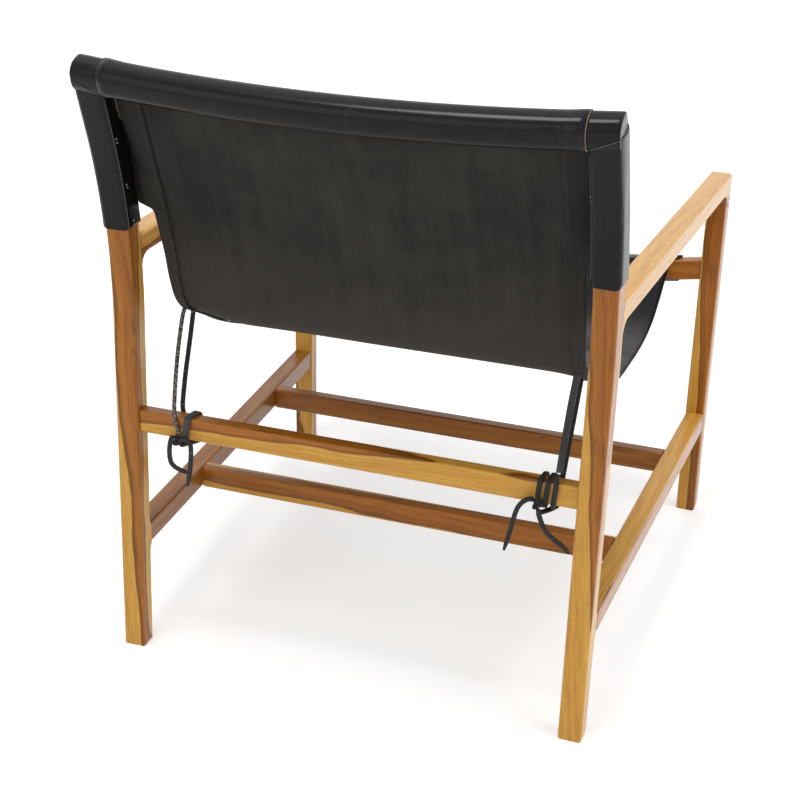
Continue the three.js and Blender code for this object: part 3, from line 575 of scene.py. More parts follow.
# A noise is its scale, detail and roughness. A band is where a mark starts to show and where it is
# full, and the values that it runs between if they aren't 0 and 1. A shine is a finish's roughness
# and specular level, and a relief a bump's strength and distance.
HIDE_CELLS = 900.0
WARP_NOISE = (160.0, 2.0, 0.5)
WARP_REACH = 0.004
PORE_BAND = (0.0, 0.25)
PORE_SHARE = 0.45
CREASE_NOISE = (55.0, 5.0, 0.62)
CREASE_BAND = (0.35, 0.65)
SCUFF_STRETCH = (1.0, 0.6, 0.35)
SCUFF_NOISE = (42.0, 7.0, 0.72)
SCUFF_BAND = (0.56, 0.74)
MOTTLE_NOISE = (9.0, 4.0, 0.6)


def hide_grain_group():
    """Pores, fine creases and scuffs of a dyed hide, at a scale given in cells to the metre."""
    group, given, result = effect_group(
        "hide_grain",
        [("Vector", "NodeSocketVector", None), ("Cells", "NodeSocketFloat", HIDE_CELLS)],
        [("Height", "NodeSocketFloat"), ("Scuffs", "NodeSocketFloat"), ("Mottle", "NodeSocketFloat")],
    )
    place = given["Vector"]
    inputs = {0: noise_node(group, place, *WARP_NOISE)["Color"], 1: (WARP_REACH,) * 3, 2: place}
    warped = add_node(group, "ShaderNodeVectorMath", inputs, operation="MULTIPLY_ADD").outputs[0]
    inputs = {"Vector": warped, "Scale": given["Cells"]}
    cells = add_node(group, "ShaderNodeTexVoronoi", inputs, feature="DISTANCE_TO_EDGE")
    pores = mask(group, cells.outputs["Distance"], *PORE_BAND)
    creases = mask(group, noise_value(group, warped, CREASE_NOISE), *CREASE_BAND)
    height = math_node(group, "ADD", math_node(group, "MULTIPLY", pores, PORE_SHARE), creases)
    group.links.new(height, result["Height"])
    scuffs = mask(group, stretched_noise(group, place, SCUFF_STRETCH, SCUFF_NOISE), *SCUFF_BAND)
    group.links.new(scuffs, result["Scuffs"])
    group.links.new(noise_value(group, place, MOTTLE_NOISE), result["Mottle"])
    return group


hide_grain = hide_grain_group()

THONG_DARK = paint(20, 20, 21)
THONG_LIGHT = paint(56, 55, 55)
THONG_WORN = paint(92, 92, 94)
THONG_RAW = paint(176, 166, 152)
THONG_SHINE = (0.6, 0.3)
THONG_RELIEF = (0.4, 0.0006)
THONG_CELLS = 1400.0
STREAK_STRETCH = (60.0, 9.0, 1.0)
STREAK_NOISE = (6.0, 4.0, 0.6)
STREAK_BAND = (0.42, 0.7)
CUT_SIDES = 2
CUT_SOFTNESS = 0.45
FLECK_STRETCH = (420.0, 3.0, 1.0)
FLECK_NOISE = (1.0, 3.0, 0.8)
FLECK_SOFTNESS = 0.06
FEW_FLECKS = 0.68
SOME_FLECKS = 0.64
MANY_FLECKS = 0.51
ON_CUT_SIDES = 0.5
ALL_ROUND = -1.5


def thong_material(name, dark, worn_tone, raw_from, cut_from):
    """Split leather: dull broad faces, and cut sides where the undyed core shows in flecks."""
    made, tree, shader = new_material(name, *THONG_SHINE)
    along = stored(tree, "along_lace")
    grain = use_group(tree, hide_grain, {"Vector": object_place(tree), "Cells": THONG_CELLS})
    streaks = stretched_noise(tree, along, STREAK_STRETCH, STREAK_NOISE)
    worn = mask(tree, streaks, *STREAK_BAND)
    body = mix_colour(tree, worn, dark, worn_tone)
    sides = math_node(tree, "MULTIPLY", split_vector(tree, along)["Y"], CUT_SIDES * 2 * math.pi)
    sideways = mask(tree, math_node(tree, "COSINE", sides), cut_from, cut_from + CUT_SOFTNESS)
    specks = stretched_noise(tree, along, FLECK_STRETCH, FLECK_NOISE)
    raw = mask(tree, specks, raw_from, raw_from + FLECK_SOFTNESS)
    flecks = math_node(tree, "MULTIPLY", raw, sideways)
    tree.links.new(mix_colour(tree, flecks, body, THONG_RAW), shader.inputs["Base Color"])
    bump(tree, shader, grain["Height"], *THONG_RELIEF)
    return made


dark_thong = thong_material("dark_thong", THONG_DARK, THONG_LIGHT, SOME_FLECKS, ON_CUT_SIDES)
grey_thong = thong_material("grey_thong", THONG_LIGHT, THONG_WORN, FEW_FLECKS, ON_CUT_SIDES)
flecked_thong = thong_material("flecked_thong", THONG_DARK, THONG_LIGHT, MANY_FLECKS, ALL_ROUND)


def finish_piece(piece, materials, slot, *nodes):
    """Gives a piece its materials, attaches it to the root body and hides the parts that it stands in
    for.
    """
    for material in materials:
        piece.data.materials.append(material)
    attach(piece, "root")
    if nodes:
        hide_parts(*nodes)


def lay_lace(node, route, broad_axis, far_end, taper=0):
    line = smooth_line(route, CENTRIPETAL, THONG_STEP)
    width, thickness, aside, finish = LACE_LIES.get(node, EVEN_LACE)
    line[:, 0] += aside
    if far_end == "object":
        line = np.array([p + np.array(HEEL_UPWARD) * heel_curl(*p) for p in line])
    lace = swept_lace(f"{node}_lace", line, broad_axis, width, thickness, taper)
    finish_piece(lace, [finish], "thong_leather", node)


ACROSS_CHAIR = (1.0, 0.0, 0.0)
FACE_BACK = (1.0, 0.0, 0.35)
TAIL_TAPER = 12
# A lace's width and thickness, how far it is shifted aside, and its finish
EVEN_LACE = (THONG_WIDTH, THONG_THICKNESS, 0, dark_thong)
LACE_LIES = {
    "right_back_strand": (8.4, 3.0, -1.8, grey_thong),
    "right_front_strand": (6.6, 3.4, 1.4, dark_thong),
    "left_back_strand": (5.2, 3.4, 0, flecked_thong),
    "left_rail_turns": (8.4, 3.0, 0, grey_thong),
}

for node, route in STRANDS.items():
    lay_lace(node, route, ACROSS_CHAIR, "object")
for node, route in WINDINGS.items():
    lay_lace(node, route, ACROSS_CHAIR, None)
for node, route in TAILS.items():
    lay_lace(node, route, FACE_BACK, "bare", TAIL_TAPER)

# Knots
# Each lace is tied off against the rail's back in a small overhand knot, pulled tight, from which
# the two tails hang.
KNOTS = {"left_knot": (230, 314.6), "right_knot": (-239.6, 316.4)}
KNOT_REACH = (3.3, 2.3, 4.4)
KNOT_LACE = (5.6, 3.2)
KNOT_ACROSS = (0.3, 1.0, 0.2)
KNOT_POINTS = 72
KNOT_TILT = math.radians(20)
KNOT_GAP = 0.3
KNOT_DEPTH = 10.4


def knot_line(x, z):
    """An overhand knot's closed line, a trefoil pulled long and turned a little."""
    middle = REAR_RAIL_BACK + KNOT_GAP + KNOT_DEPTH / 2
    c, s = math.cos(KNOT_TILT), math.sin(KNOT_TILT)
    line = []
    for i in range(KNOT_POINTS + 1):
        t = 2 * math.pi * i / KNOT_POINTS
        across = KNOT_REACH[0] * (math.sin(t) + 2 * math.sin(2 * t)) / 2
        upward = KNOT_REACH[2] * (math.cos(t) - 2 * math.cos(2 * t)) / 2
        y = middle - KNOT_REACH[1] * math.sin(3 * t)
        line.append((x + across * c - upward * s, y, z + across * s + upward * c))
    return np.array(line)


for node, (x, z) in KNOTS.items():
    knot = swept_lace(f"{node}_lace", knot_line(x, z), KNOT_ACROSS, *KNOT_LACE)
    finish_piece(knot, [dark_thong], "thong_leather", node)

# Teak frame
# Legs, arms, stretchers and rails are sawn from solid teak, planed, eased along their edges and
# oiled. The growth rings run along each stick and show as stripes and arches on its faces.
REAR_HALF_WIDTH = 316
FRONT_HALF_WIDTH = 341
FRAME_DEPTH = 675
MERGE_REACH = 0.02
FACE_WEIGHT = 100
PLANE_ANGLE = math.radians(1)
EDGE_ANGLE = math.radians(50)
# Each stick's heart, where the rings have their middle: how far it lies aside of and above the
# stick's own middle, how fast it drifts aside and up along the stick, how dark the stick is, and
# how far from the heart the pale sapwood starts. The left side stretcher's darkness is painted shade
# from the seat above it.
HEARTS = {
    "left_rear_leg": (-40, 14, 0.14, 0, 0.5, 50),
    "right_rear_leg": (-46, 8, 0.26, 0, 0.42, 47),
    "left_front_leg": (30, -60, 0.06, 0, 0.5, 76),
    "right_front_leg": (-30, 30, 0.05, 0, 0.35, 38),
    "left_arm": (18, -46, 0.03, 0, 0.4, 60),
    "right_arm": (-30, -34, 0.02, 0, 0.2, 42),
    # Painted shade: this stretcher is made dark for the seat's shade over its top
    "left_side_stretcher": (-22, -50, 0.04, 0, 0.8, 90),
    "right_side_stretcher": (34, -40, 0.05, 0, 0.4, 58),
    "rear_rail": (10, 36, 0, -0.08, 0.2, 30),
    "rear_lower_rail": (36, 20, 0, 0.05, 0.4, 39),
    "front_lower_rail": (-44, 24, 0.03, 0, 0.85, 76),
    "seat_front_rail": (20, 50, 0.02, 0, 0.35, 62),
    "top_rail": (30, 30, 0.03, 0, 0.5, 60),
}
HEART_DRIFT_REACH = 100


def stick_axes(node):
    """The directions along, aside of and above a stick."""
    upright = Vector((0, 0, 1))
    across = Vector((1, 0, 0))
    if node.endswith("_leg"):
        return upright, across, Vector((0, 1, 0))
    if node.endswith("rail"):
        return across, Vector((0, 1, 0)), upright
    sign = 1 if node.startswith("left") else -1
    along = Vector((sign * (FRONT_HALF_WIDTH - REAR_HALF_WIDTH), -FRAME_DEPTH, 0)).normalized()
    return along, along.cross(upright), upright


def clean_copy(node, name):
    """The node's mesh with its loose triangles merged and each flat face in one piece."""
    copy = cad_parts[node].data.copy()
    mesh = bmesh.new()
    mesh.from_mesh(copy)
    bmesh.ops.remove_doubles(mesh, verts=mesh.verts, dist=MERGE_REACH * MM)
    bmesh.ops.dissolve_limit(mesh, angle_limit=PLANE_ANGLE, verts=mesh.verts, edges=mesh.edges)
    for edge in mesh.edges:
        edge.smooth = len(edge.link_faces) == 2 and edge.calc_face_angle(0) < EDGE_ANGLE
    for face in mesh.faces:
        face.smooth = True
    mesh.to_mesh(copy)
    mesh.free()
    copy.materials.clear()
    return add_object(name, copy)


def apply_modifiers(piece):
    """Turns what the modifiers make into the piece's own plain mesh."""
    scene_state = bpy.context.evaluated_depsgraph_get()
    piece.data = bpy.data.meshes.new_from_object(piece.evaluated_get(scene_state), depsgraph=scene_state)
    piece.modifiers.clear()


def even_shading(piece):
    """Lets the broad faces keep their own direction, so that only the eased edges turn."""
    weights = piece.modifiers.new("even", "WEIGHTED_NORMAL")
    weights.keep_sharp = True
    weights.weight = FACE_WEIGHT
    apply_modifiers(piece)


def store_grain(piece, node):
    """Stores where each point lies from its stick's heart, and the stick's own tone, with painted shade
    on the left side stretcher, and sapwood.
    """
    low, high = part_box(node)
    middle = (low + high) / 2
    along, aside, above = stick_axes(node)
    heart_aside, heart_above, drift_aside, drift_above, darkness_and_shade, sapwood_from = HEARTS[node]
    order = list(HEARTS).index(node)
    places = []
    for vertex in piece.data.vertices:
        place = vertex.co - middle
        run = place.dot(along)
        drift = HEART_DRIFT_REACH * MM * math.tanh(run / MM / HEART_DRIFT_REACH)
        sideways = place.dot(aside) - heart_aside * MM - drift_aside * drift
        upward = place.dot(above) - heart_above * MM - drift_above * drift
        places += [run + order, sideways, upward]
    grain = piece.data.attributes.new("grain", "FLOAT_VECTOR", "POINT")
    grain.data.foreach_set("vector", places)
    tones = [darkness_and_shade, sapwood_from * MM, 0] * len(piece.data.vertices)
    tone = piece.data.attributes.new("stick_tone_and_shade", "FLOAT_VECTOR", "POINT")
    tone.data.foreach_set("vector", tones)


TEAK_PALE = paint(212, 160, 68)
TEAK_HONEY = paint(192, 124, 36)
TEAK_AMBER = paint(164, 94, 22)
TEAK_UMBER = paint(88, 48, 14)
TEAK_SHINE = (0.42, 0.16)
TEAK_COAT = (1.0, 0.24, 1.26)
TEAK_RELIEF = (0.25, 0.0004)
TIMBER_MARKS = ("Rings", "Lines", "Fibre", "Pores", "Sapwood", "Border", "Cloud", "Patches")
# How much finer each pattern is along, aside of and above the stick, and its noise
SWAY = ((2.6, 9.0, 9.0), (1.6, 3.0, 0.5))
RIPPLE = ((9.0, 60.0, 60.0), (1.0, 2.0, 0.5))
FIBRE = ((14.0, 620.0, 620.0), (1.0, 4.0, 0.6))
PORES = ((75.0, 1500.0, 1500.0), (1.0, 1.0, 0.5))
PATCHES = ((9.0, 38.0, 38.0), (1.0, 4.0, 0.65))
CLOUD = ((3.0, 14.0, 14.0), (1.0, 3.0, 0.5))
NOISE_MIDDLE = 0.5
SWAY_REACH = 0.03
RIPPLE_REACH = 0.003
# How many rings to the metre, and their noise's detail and roughness
BROAD_RINGS = (105.0, 3.0, 0.65)
FINE_RINGS = (420.0, 2.0, 0.6)
ACROSS_GRAIN = (0.0, 1.0, 1.0)
USUAL_SAPWOOD = 0.05
RING_BAND = (0.36, 0.68)
LINE_BAND = (0.6, 0.74)
VESSEL_BAND = (0.66, 0.76)
SAPWOOD_BAND = (0.0, 0.0016)
BORDER_RISE = (-0.005, -0.0002)
BORDER_FALL = (-0.0002, 0.0012, 1.0, 0.0)
PATCH_BAND = (0.52, 0.74)
FIBRE_SHADE = (0.3, 0.7, 0.84, 1.1)
LINE_DEPTH = 0.5
CLOUD_SHADE = 0.7
SHADE_OFFSET = 0.55
SHADE_DEPTH = 0.62
PATCH_DEPTH = 0.5
SAPWOOD_RINGS = 0.5
BORDER_DEPTH = 0.6
PORE_DARKNESS = 0.5
FIBRE_ROUGH = 0.2
SMOOTHEST = 0.36
PORE_DEPTH = -0.6


def ring_noise(group, radius, rings, detail, roughness):
    """Rings of uneven breadth and strength round the heart."""
    inputs = {
        "W": math_node(group, "MULTIPLY", radius, rings),
        "Scale": 1.0,
        "Detail": detail,
        "Roughness": roughness,
    }
    return add_node(group, "ShaderNodeTexNoise", inputs, noise_dimensions="1D").outputs["Fac"]


def timber_group():
    """Growth rings round a stick's heart, with fibres, pores and the edge of the sapwood."""
    group, given, result = effect_group(
        "timber_figure",
        [("Vector", "NodeSocketVector", None), ("Sapwood Radius", "NodeSocketFloat", USUAL_SAPWOOD)],
        [(name, "NodeSocketFloat") for name in TIMBER_MARKS],
    )
    place = given["Vector"]
    sway = math_node(group, "SUBTRACT", stretched_noise(group, place, *SWAY), NOISE_MIDDLE)
    ripple = stretched_noise(group, place, *RIPPLE)
    flat = stretch(group, place, ACROSS_GRAIN)
    radius = add_node(group, "ShaderNodeVectorMath", {0: flat}, operation="LENGTH").outputs["Value"]
    radius = math_node(group, "MULTIPLY_ADD", sway, SWAY_REACH, radius)
    radius = math_node(group, "MULTIPLY_ADD", ripple, RIPPLE_REACH, radius)
    edge = math_node(group, "SUBTRACT", radius, given["Sapwood Radius"])
    rise = mask(group, edge, *BORDER_RISE)
    fall = mask(group, edge, *BORDER_FALL)
    marks = {
        "Rings": mask(group, ring_noise(group, radius, *BROAD_RINGS), *RING_BAND),
        "Lines": mask(group, ring_noise(group, radius, *FINE_RINGS), *LINE_BAND),
        "Fibre": stretched_noise(group, place, *FIBRE),
        "Pores": mask(group, stretched_noise(group, place, *PORES), *VESSEL_BAND),
        "Sapwood": mask(group, edge, *SAPWOOD_BAND),
        "Border": math_node(group, "MULTIPLY", rise, fall),
        "Cloud": stretched_noise(group, place, *CLOUD),
        "Patches": mask(group, stretched_noise(group, place, *PATCHES), *PATCH_BAND),
    }
    for name in TIMBER_MARKS:
        group.links.new(marks[name], result[name])
    return group


def stain(tree, colour, mark, depth, stained):
    """A colour turned towards another one where a mark shows."""
    return mix_colour(tree, math_node(tree, "MULTIPLY", mark, depth), colour, stained)


def uneven(tree, colour, shade):
    """A colour made darker and lighter by a shade that lies about 1."""
    return mix_colour(tree, 1.0, colour, shade, "MULTIPLY")


def teak_material(group):
    """Oiled teak: amber heartwood with dark lines, honey coloured sapwood, and a thin shine."""
    made, tree, shader = new_material("oiled_teak", *TEAK_SHINE)
    coat(shader, *TEAK_COAT)
    stick = split_vector(tree, stored(tree, "stick_tone_and_shade"))
    figure = use_group(tree, group, {"Vector": stored(tree, "grain"), "Sapwood Radius": stick["Y"]})
    heartwood = mix_colour(tree, figure["Rings"], TEAK_AMBER, TEAK_HONEY)
    heartwood = stain(tree, heartwood, figure["Lines"], LINE_DEPTH, TEAK_UMBER)
    # The stick's darkness, painted shade on the left side stretcher, turns the heartwood towards umber
    tone = math_node(tree, "SUBTRACT", stick["X"], SHADE_OFFSET)
    shade = math_node(tree, "MULTIPLY_ADD", figure["Cloud"], CLOUD_SHADE, tone)
    shade = math_node(tree, "MULTIPLY", shade, SHADE_DEPTH, clamp=True)
    heartwood = mix_colour(tree, shade, heartwood, TEAK_UMBER)
    heartwood = stain(tree, heartwood, figure["Patches"], PATCH_DEPTH, TEAK_UMBER)
    sapwood = stain(tree, TEAK_PALE, figure["Rings"], SAPWOOD_RINGS, TEAK_HONEY)
    wood = mix_colour(tree, figure["Sapwood"], heartwood, sapwood)
    wood = stain(tree, wood, figure["Border"], BORDER_DEPTH, TEAK_UMBER)
    wood = uneven(tree, wood, mask(tree, figure["Fibre"], *FIBRE_SHADE))
    wood = stain(tree, wood, figure["Pores"], PORE_DARKNESS, TEAK_UMBER)
    tree.links.new(wood, shader.inputs["Base Color"])
    roughness = math_node(tree, "MULTIPLY_ADD", figure["Fibre"], FIBRE_ROUGH, SMOOTHEST)
    tree.links.new(roughness, shader.inputs["Roughness"])
    relief = math_node(tree, "MULTIPLY_ADD", figure["Pores"], PORE_DEPTH, figure["Fibre"])
    bump(tree, shader, relief, *TEAK_RELIEF)
    return made


teak = teak_material(timber_group())
for node in HEARTS:
    stick = clean_copy(node, f"{node}_teak")
    even_shading(stick)
    store_grain(stick, node)
    finish_piece(stick, [teak], "teak", node)

# Sling
# One saddle hide makes the back and the seat. Its top is folded round the top rail and sewn to
# itself, so the smooth grain side shows on the roll and to the sitter, and the rough flesh side
# behind and below. Its front wraps over the seat's front rail.
TOP_RAIL_DEPTH = 31.8
TOP_RAIL_HEIGHT = 32.5
TOP_RAIL_RADIUS = 12
TOP_RAIL_PLACE = (44.5, 784.6)
TOP_RAIL_HALF_LENGTH = 312.6
TOP_RAIL_BOW = 17
TOP_RAIL_DIP = 10.5
BACK_LEAN = math.radians(20)
HIDE = 3.2
HIDE_GAP = 0.3
SLING_LEAVE = 8
ROLL_TUCK = 9
SEAT_RAIL_BACK = -649.6
SEAT_RAIL_TOP = 415
SEAT_RAIL_HEIGHT = 31
SEAT_RAIL_DIP = 24
SEAT_RAIL_HALF_LENGTH = 311.5
SEAT_DIP_START = -399.6
SEAT_DIP_END = -619.6
HEEL = (-93, 455)
FRONT_RISE = math.radians(29)
FRONT_RUN = 48
WRAP_TAIL = 10
WRAP_TAIL_SHARES = (0.5, 1.0)
CORNER_STEPS = 6
RISE_STEPS = 4
TUCK_STEPS = 4
RUN_SHARES = np.linspace(0.9, 0.1, 8)
LEAVE_SHARE = 1 / 3
WING_BOTTOM = 612
WING_HALF_WIDTH = 280.1
BACK_HALF_WIDTH = 270
HEEL_HALF_WIDTH = 267
SEAT_HALF_WIDTH = 266
FLAP_HALF_WIDTH = 280
FLAP_START = -648
FLAP_END = -658
WING_CORNER = 7
WING_LAP = 8.5
WING_LAP_START = 650
WING_LAP_END = 748
WING_EASE_START = 624
WING_EASE = 0.17
WING_EASE_FROM = 258
WING_EASE_TOP = 668
WING_EASE_END = 748
ROW_STEP = 5
SLING_COLUMNS = 64
BACK_SHARES = [
    (0.055, 0.009),
    (0.121, 0.01),
    (0.305, 0.007),
    (0.538, 0.005),
    (0.72, 0.006),
    (0.832, 0.019),
    (0.925, 0.022),
]
SEAT_SHARES = [
    (0.049, 0.027),
    (0.122, 0.051),
    (0.224, 0.08),
    (0.325, 0.108),
    (0.446, 0.136),
    (0.564, 0.135),
    (0.677, 0.128),
    (0.781, 0.113),
    (0.871, 0.085),
    (0.945, 0.042),
]
hide_seat = HIDE_GAP + HIDE / 2


def along_chord(start, end, shares):
    """Points between two ends, each a share of the chord along it and a share aside of it."""
    start, end = np.array(start), np.array(end)
    chord = end - start
    aside = np.array((-chord[1], chord[0]))
    return [start + chord * along + aside * off for along, off in shares]


def rail_place(backward, upward):
    """A point of the top rail's leaning section, as depth and height."""
    c, s = math.cos(BACK_LEAN), math.sin(BACK_LEAN)
    return np.array(TOP_RAIL_PLACE) + (backward * c + upward * s, upward * c - backward * s)


def arc(centre, radius, start, end, steps):
    angles = [math.radians(start + (end - start) * i / steps) for i in range(steps + 1)]
    return [(centre[0] + radius * math.cos(a), centre[1] + radius * math.sin(a)) for a in angles]


def roll_line():
    """The leather round the top rail, from its sewn edge underneath, up the back and over."""
    side, rise = TOP_RAIL_DEPTH / 2, TOP_RAIL_HEIGHT / 2
    inset, lift = side - TOP_RAIL_RADIUS, rise - TOP_RAIL_RADIUS
    radius = TOP_RAIL_RADIUS + hide_seat
    line = [(x, -rise - hide_seat) for x in np.linspace(-ROLL_TUCK, inset, TUCK_STEPS)[:-1]]
    line += arc((inset, -lift), radius, -90, 0, CORNER_STEPS)
    line += [(side + hide_seat, 0)]
    line += arc((inset, lift), radius, 0, 90, CORNER_STEPS)
    line += [(0, rise + hide_seat)]
    line += arc((-inset, lift), radius, 90, 180, CORNER_STEPS)
    line += [(-side - hide_seat, -SLING_LEAVE * LEAVE_SHARE)]
    return [rail_place(*place) for place in line]


def sling_line():
    """The middle of the leather in side view, and the count of its points round the top rail."""
    roll = roll_line()
    top = rail_place(-TOP_RAIL_DEPTH / 2 - hide_seat, -SLING_LEAVE)
    radius = RAIL_EASE + hide_seat
    rear = np.array((SEAT_RAIL_BACK - RAIL_EASE, SEAT_RAIL_TOP - RAIL_EASE))
    front = np.array((SEAT_RAIL_BACK - RAIL_THICKNESS + RAIL_EASE, rear[1]))
    low = np.array((front[0], SEAT_RAIL_TOP - SEAT_RAIL_HEIGHT + RAIL_EASE))
    landing = rear + radius * np.array((math.sin(FRONT_RISE), math.cos(FRONT_RISE)))
    seat_end = landing + FRONT_RUN * np.array((math.cos(FRONT_RISE), -math.sin(FRONT_RISE)))
    knots = [top, *along_chord(top, HEEL, BACK_SHARES), np.array(HEEL)]
    knots += [*along_chord(HEEL, seat_end, SEAT_SHARES), seat_end]
    body = smooth_line(knots, EVEN, ROW_STEP)
    run = [landing + (seat_end - landing) * share for share in RUN_SHARES]
    wrap = arc(rear, radius, 90 - math.degrees(FRONT_RISE), 90, RISE_STEPS)
    wrap += arc(front, radius, 90, 180, CORNER_STEPS)
    wrap += arc(low, radius, 180, 270, CORNER_STEPS)
    tail = [(low[0] + WRAP_TAIL * share, low[1] - radius) for share in WRAP_TAIL_SHARES]
    return np.array([*roll, *body, *run, *wrap, *tail]), len(roll)


hide_line, roll_rows = sling_line()
hide_reach = reach_along(hide_line)


def sling_half_width(row):
    """How far the hide reaches to each side at a row of its line."""
    y, z = hide_line[row]
    if row < roll_rows:
        return WING_HALF_WIDTH
    if z > WING_BOTTOM - WING_CORNER and y > HEEL[0]:
        lap = WING_LAP * (1 - smooth_share(z, WING_LAP_START, WING_LAP_END))
        wing = smooth_share(z, WING_BOTTOM - WING_CORNER, WING_BOTTOM)
        return BACK_HALF_WIDTH + (WING_HALF_WIDTH + lap - BACK_HALF_WIDTH) * wing
    if y > 0:
        return BACK_HALF_WIDTH
    if y > HEEL[0]:
        return BACK_HALF_WIDTH + (HEEL_HALF_WIDTH - BACK_HALF_WIDTH) * y / HEEL[0]
    seat = HEEL_HALF_WIDTH + (SEAT_HALF_WIDTH - HEEL_HALF_WIDTH) * smooth_share(-y, -HEEL[0], -FLAP_START)
    return seat + (FLAP_HALF_WIDTH - SEAT_HALF_WIDTH) * smooth_share(-y, -FLAP_START, -FLAP_END)


def rail_hold(row):
    """How much a row follows the top rail's bow and dip."""
    if row < roll_rows:
        return 1.0
    y, z = hide_line[row]
    if y < HEEL[0]:
        return 0.0
    bend_top = TOP_RAIL_PLACE[1] - TOP_RAIL_HEIGHT
    return share_between(z, WING_BOTTOM, bend_top)


SLOTS = [(263.4, 452), (251.2, 452), (-254.5, 454), (-259, 441)]
SLOT_PULL = 1.6
SLOT_REACH = 26
SLOT_PULL_FROM = HEEL[0] - 60
SLOT_PULL_TO = HEEL[0] + 40
WAVE = 1.1
WAVES_PER_METRE = 7
WAVE_ROWS = 24
ROLL_FLARE = 1.0
ROLL_FLARE_REACH = 26
ROLL_FLARE_FULL = 4


def hide_lift(row, x):
    """How far the hide stands off its even line, towards its grain side."""
    if row < roll_rows:
        edge = smooth_share(abs(x), WING_HALF_WIDTH - ROLL_FLARE_REACH, WING_HALF_WIDTH - ROLL_FLARE_FULL)
        return ROLL_FLARE * edge
    y, z = hide_line[row]
    held = smooth_share(row - roll_rows, 0, WAVE_ROWS) * smooth_share(y, SEAT_DIP_END, SEAT_DIP_START)
    waves = noise.noise(Vector((x * MM, hide_reach[row] * MM, 0)) * WAVES_PER_METRE)
    lift = WAVE * waves * held
    if y > HEEL[0] and z > WING_EASE_START:
        ease = min(WING_EASE_TOP - WING_EASE_START, z - WING_EASE_START) * WING_EASE
        ease *= 1 - smooth_share(z, WING_EASE_TOP, WING_EASE_END)
        lift += ease * smooth_share(abs(x), WING_EASE_FROM, WING_HALF_WIDTH)
    lift += heel_curl(x, y, z)
    if SLOT_PULL_FROM < y < SLOT_PULL_TO:
        for slot_x, slot_z in SLOTS:
            away = math.hypot(x - slot_x, z - slot_z)
            lift -= SLOT_PULL * math.exp(-((away / SLOT_REACH) ** 2))
    return lift


GRAIN_FACE, FLESH_FACE, DYED_CUT, RAW_CUT = range(4)
row_tangents = directions(hide_line)
row_normals = np.stack([row_tangents[:, 1], -row_tangents[:, 0]], axis=1)


def hide_point(row, x, off):
    """A point of the sling, off its middle towards its grain side, in metres."""
    y, z = hide_line[row] + row_normals[row] * (off + hide_lift(row, x))
    share = (1 - (x / TOP_RAIL_HALF_LENGTH) ** 2) * rail_hold(row)
    hold = share_between(hide_line[row][0], SEAT_DIP_START, SEAT_DIP_END)
    dip = SEAT_RAIL_DIP * (1 - (x / SEAT_RAIL_HALF_LENGTH) ** 2) * hold
    return chair_point(x, y + TOP_RAIL_BOW * share, z - TOP_RAIL_DIP * share - dip)


def hide_strip(name, rows, limits, upper, under, columns, bulge):
    """A strip of the hide between two distances off its middle, with its cut edges rounded.
    Its faces are given materials in the order grain side, flesh side, dyed edge, raw edge."""
    vertices = []
    places = []
    ring = 2 * (columns + 1) + 2
    for row in rows:
        low, high = limits(row)
        xs = np.linspace(low, high, columns + 1)
        middle = (upper + under) / 2
        loop = [(x, upper) for x in xs] + [(high + bulge, middle)]
        loop += [(x, under) for x in reversed(xs)] + [(low - bulge, middle)]
        for x, off in loop:
            vertices.append(hide_point(row, x, off))
            places.append((x * MM, hide_reach[row] * MM, off * MM))
    faces = []
    kinds = []
    for i, row in enumerate(rows[:-1]):
        for k in range(ring):
            a, b = i * ring + k, i * ring + (k + 1) % ring
            faces.append((a, b, b + ring, a + ring))
            on_upper = k < columns
            on_under = columns + 2 <= k < 2 * columns + 2
            upper_half = k in (columns, ring - 1)
            edge = RAW_CUT if upper_half and row < roll_rows - 1 else DYED_CUT
            kinds.append(GRAIN_FACE if on_upper else FLESH_FACE if on_under else edge)
    faces.append(tuple(range(ring)))
    faces.append(tuple(reversed(range((len(rows) - 1) * ring, len(rows) * ring))))
    kinds += [DYED_CUT, DYED_CUT]
    made = new_object(name, vertices, faces)
    for face, kind in zip(made.data.polygons, kinds):
        face.material_index = kind
    laid = made.data.attributes.new("on_hide", "FLOAT_VECTOR", "POINT")
    for vertex, place in zip(laid.data, places):
        vertex.vector = place
    fix_normals(made)
    return made


FLESH_DARK = paint(33, 31, 29)
FLESH_LIGHT = paint(60, 57, 53)
GRAIN_DARK = paint(11, 11, 13)
GRAIN_SCUFF = paint(46, 46, 48)
EDGE_DYE = paint(32, 30, 29)
RAW_EDGE = paint(142, 124, 104)
SLING_BULGE = 0.6
FLESH_SHINE = (0.86, 0.22)
FLESH_CELLS = 700.0
NAP_NOISE = (900.0, 5.0, 0.75)
NAP_SHADE = (0.3, 0.7, 0.86, 1.14)
CLOUD_NOISE = (6.0, 6.0, 0.66)
CLOUD_SHARE = 0.75
DOWN_STRETCH = (46.0, 2.6, 1.0)
DOWN_NOISE = (1.0, 5.0, 0.62)
DOWN_SHARE = 0.35
FLESH_BAND = (0.34, 0.78)
# Painted light: below a height in metres the flesh side is made lighter, for the light it catches where
# it curves
LOW_PAINTED_LIGHT = (0.62, 0.4, 0.0, 0.8)
FLESH_GRAIN = 0.6
FLESH_RELIEF = (0.35, 0.0008)
WAX_CELLS = 1000.0
WAX_SPECULAR = 0.07
WAX_MOTTLE = 0.22
WAX_RELIEF = (0.14, 0.0005)
WAX_COAT = (0.5, 0.14, 1.32)
CUT_SHINE = (0.75, 0.3)
CUT_NOISE = (1300.0, 4.0, 0.7)
CUT_SHADE = (0.3, 0.7, 0.7, 1.25)
CUT_RELIEF = (0.4, 0.0005)
SLING_ROUGHNESS = 0.27
SLING_SCUFFS = 0.7


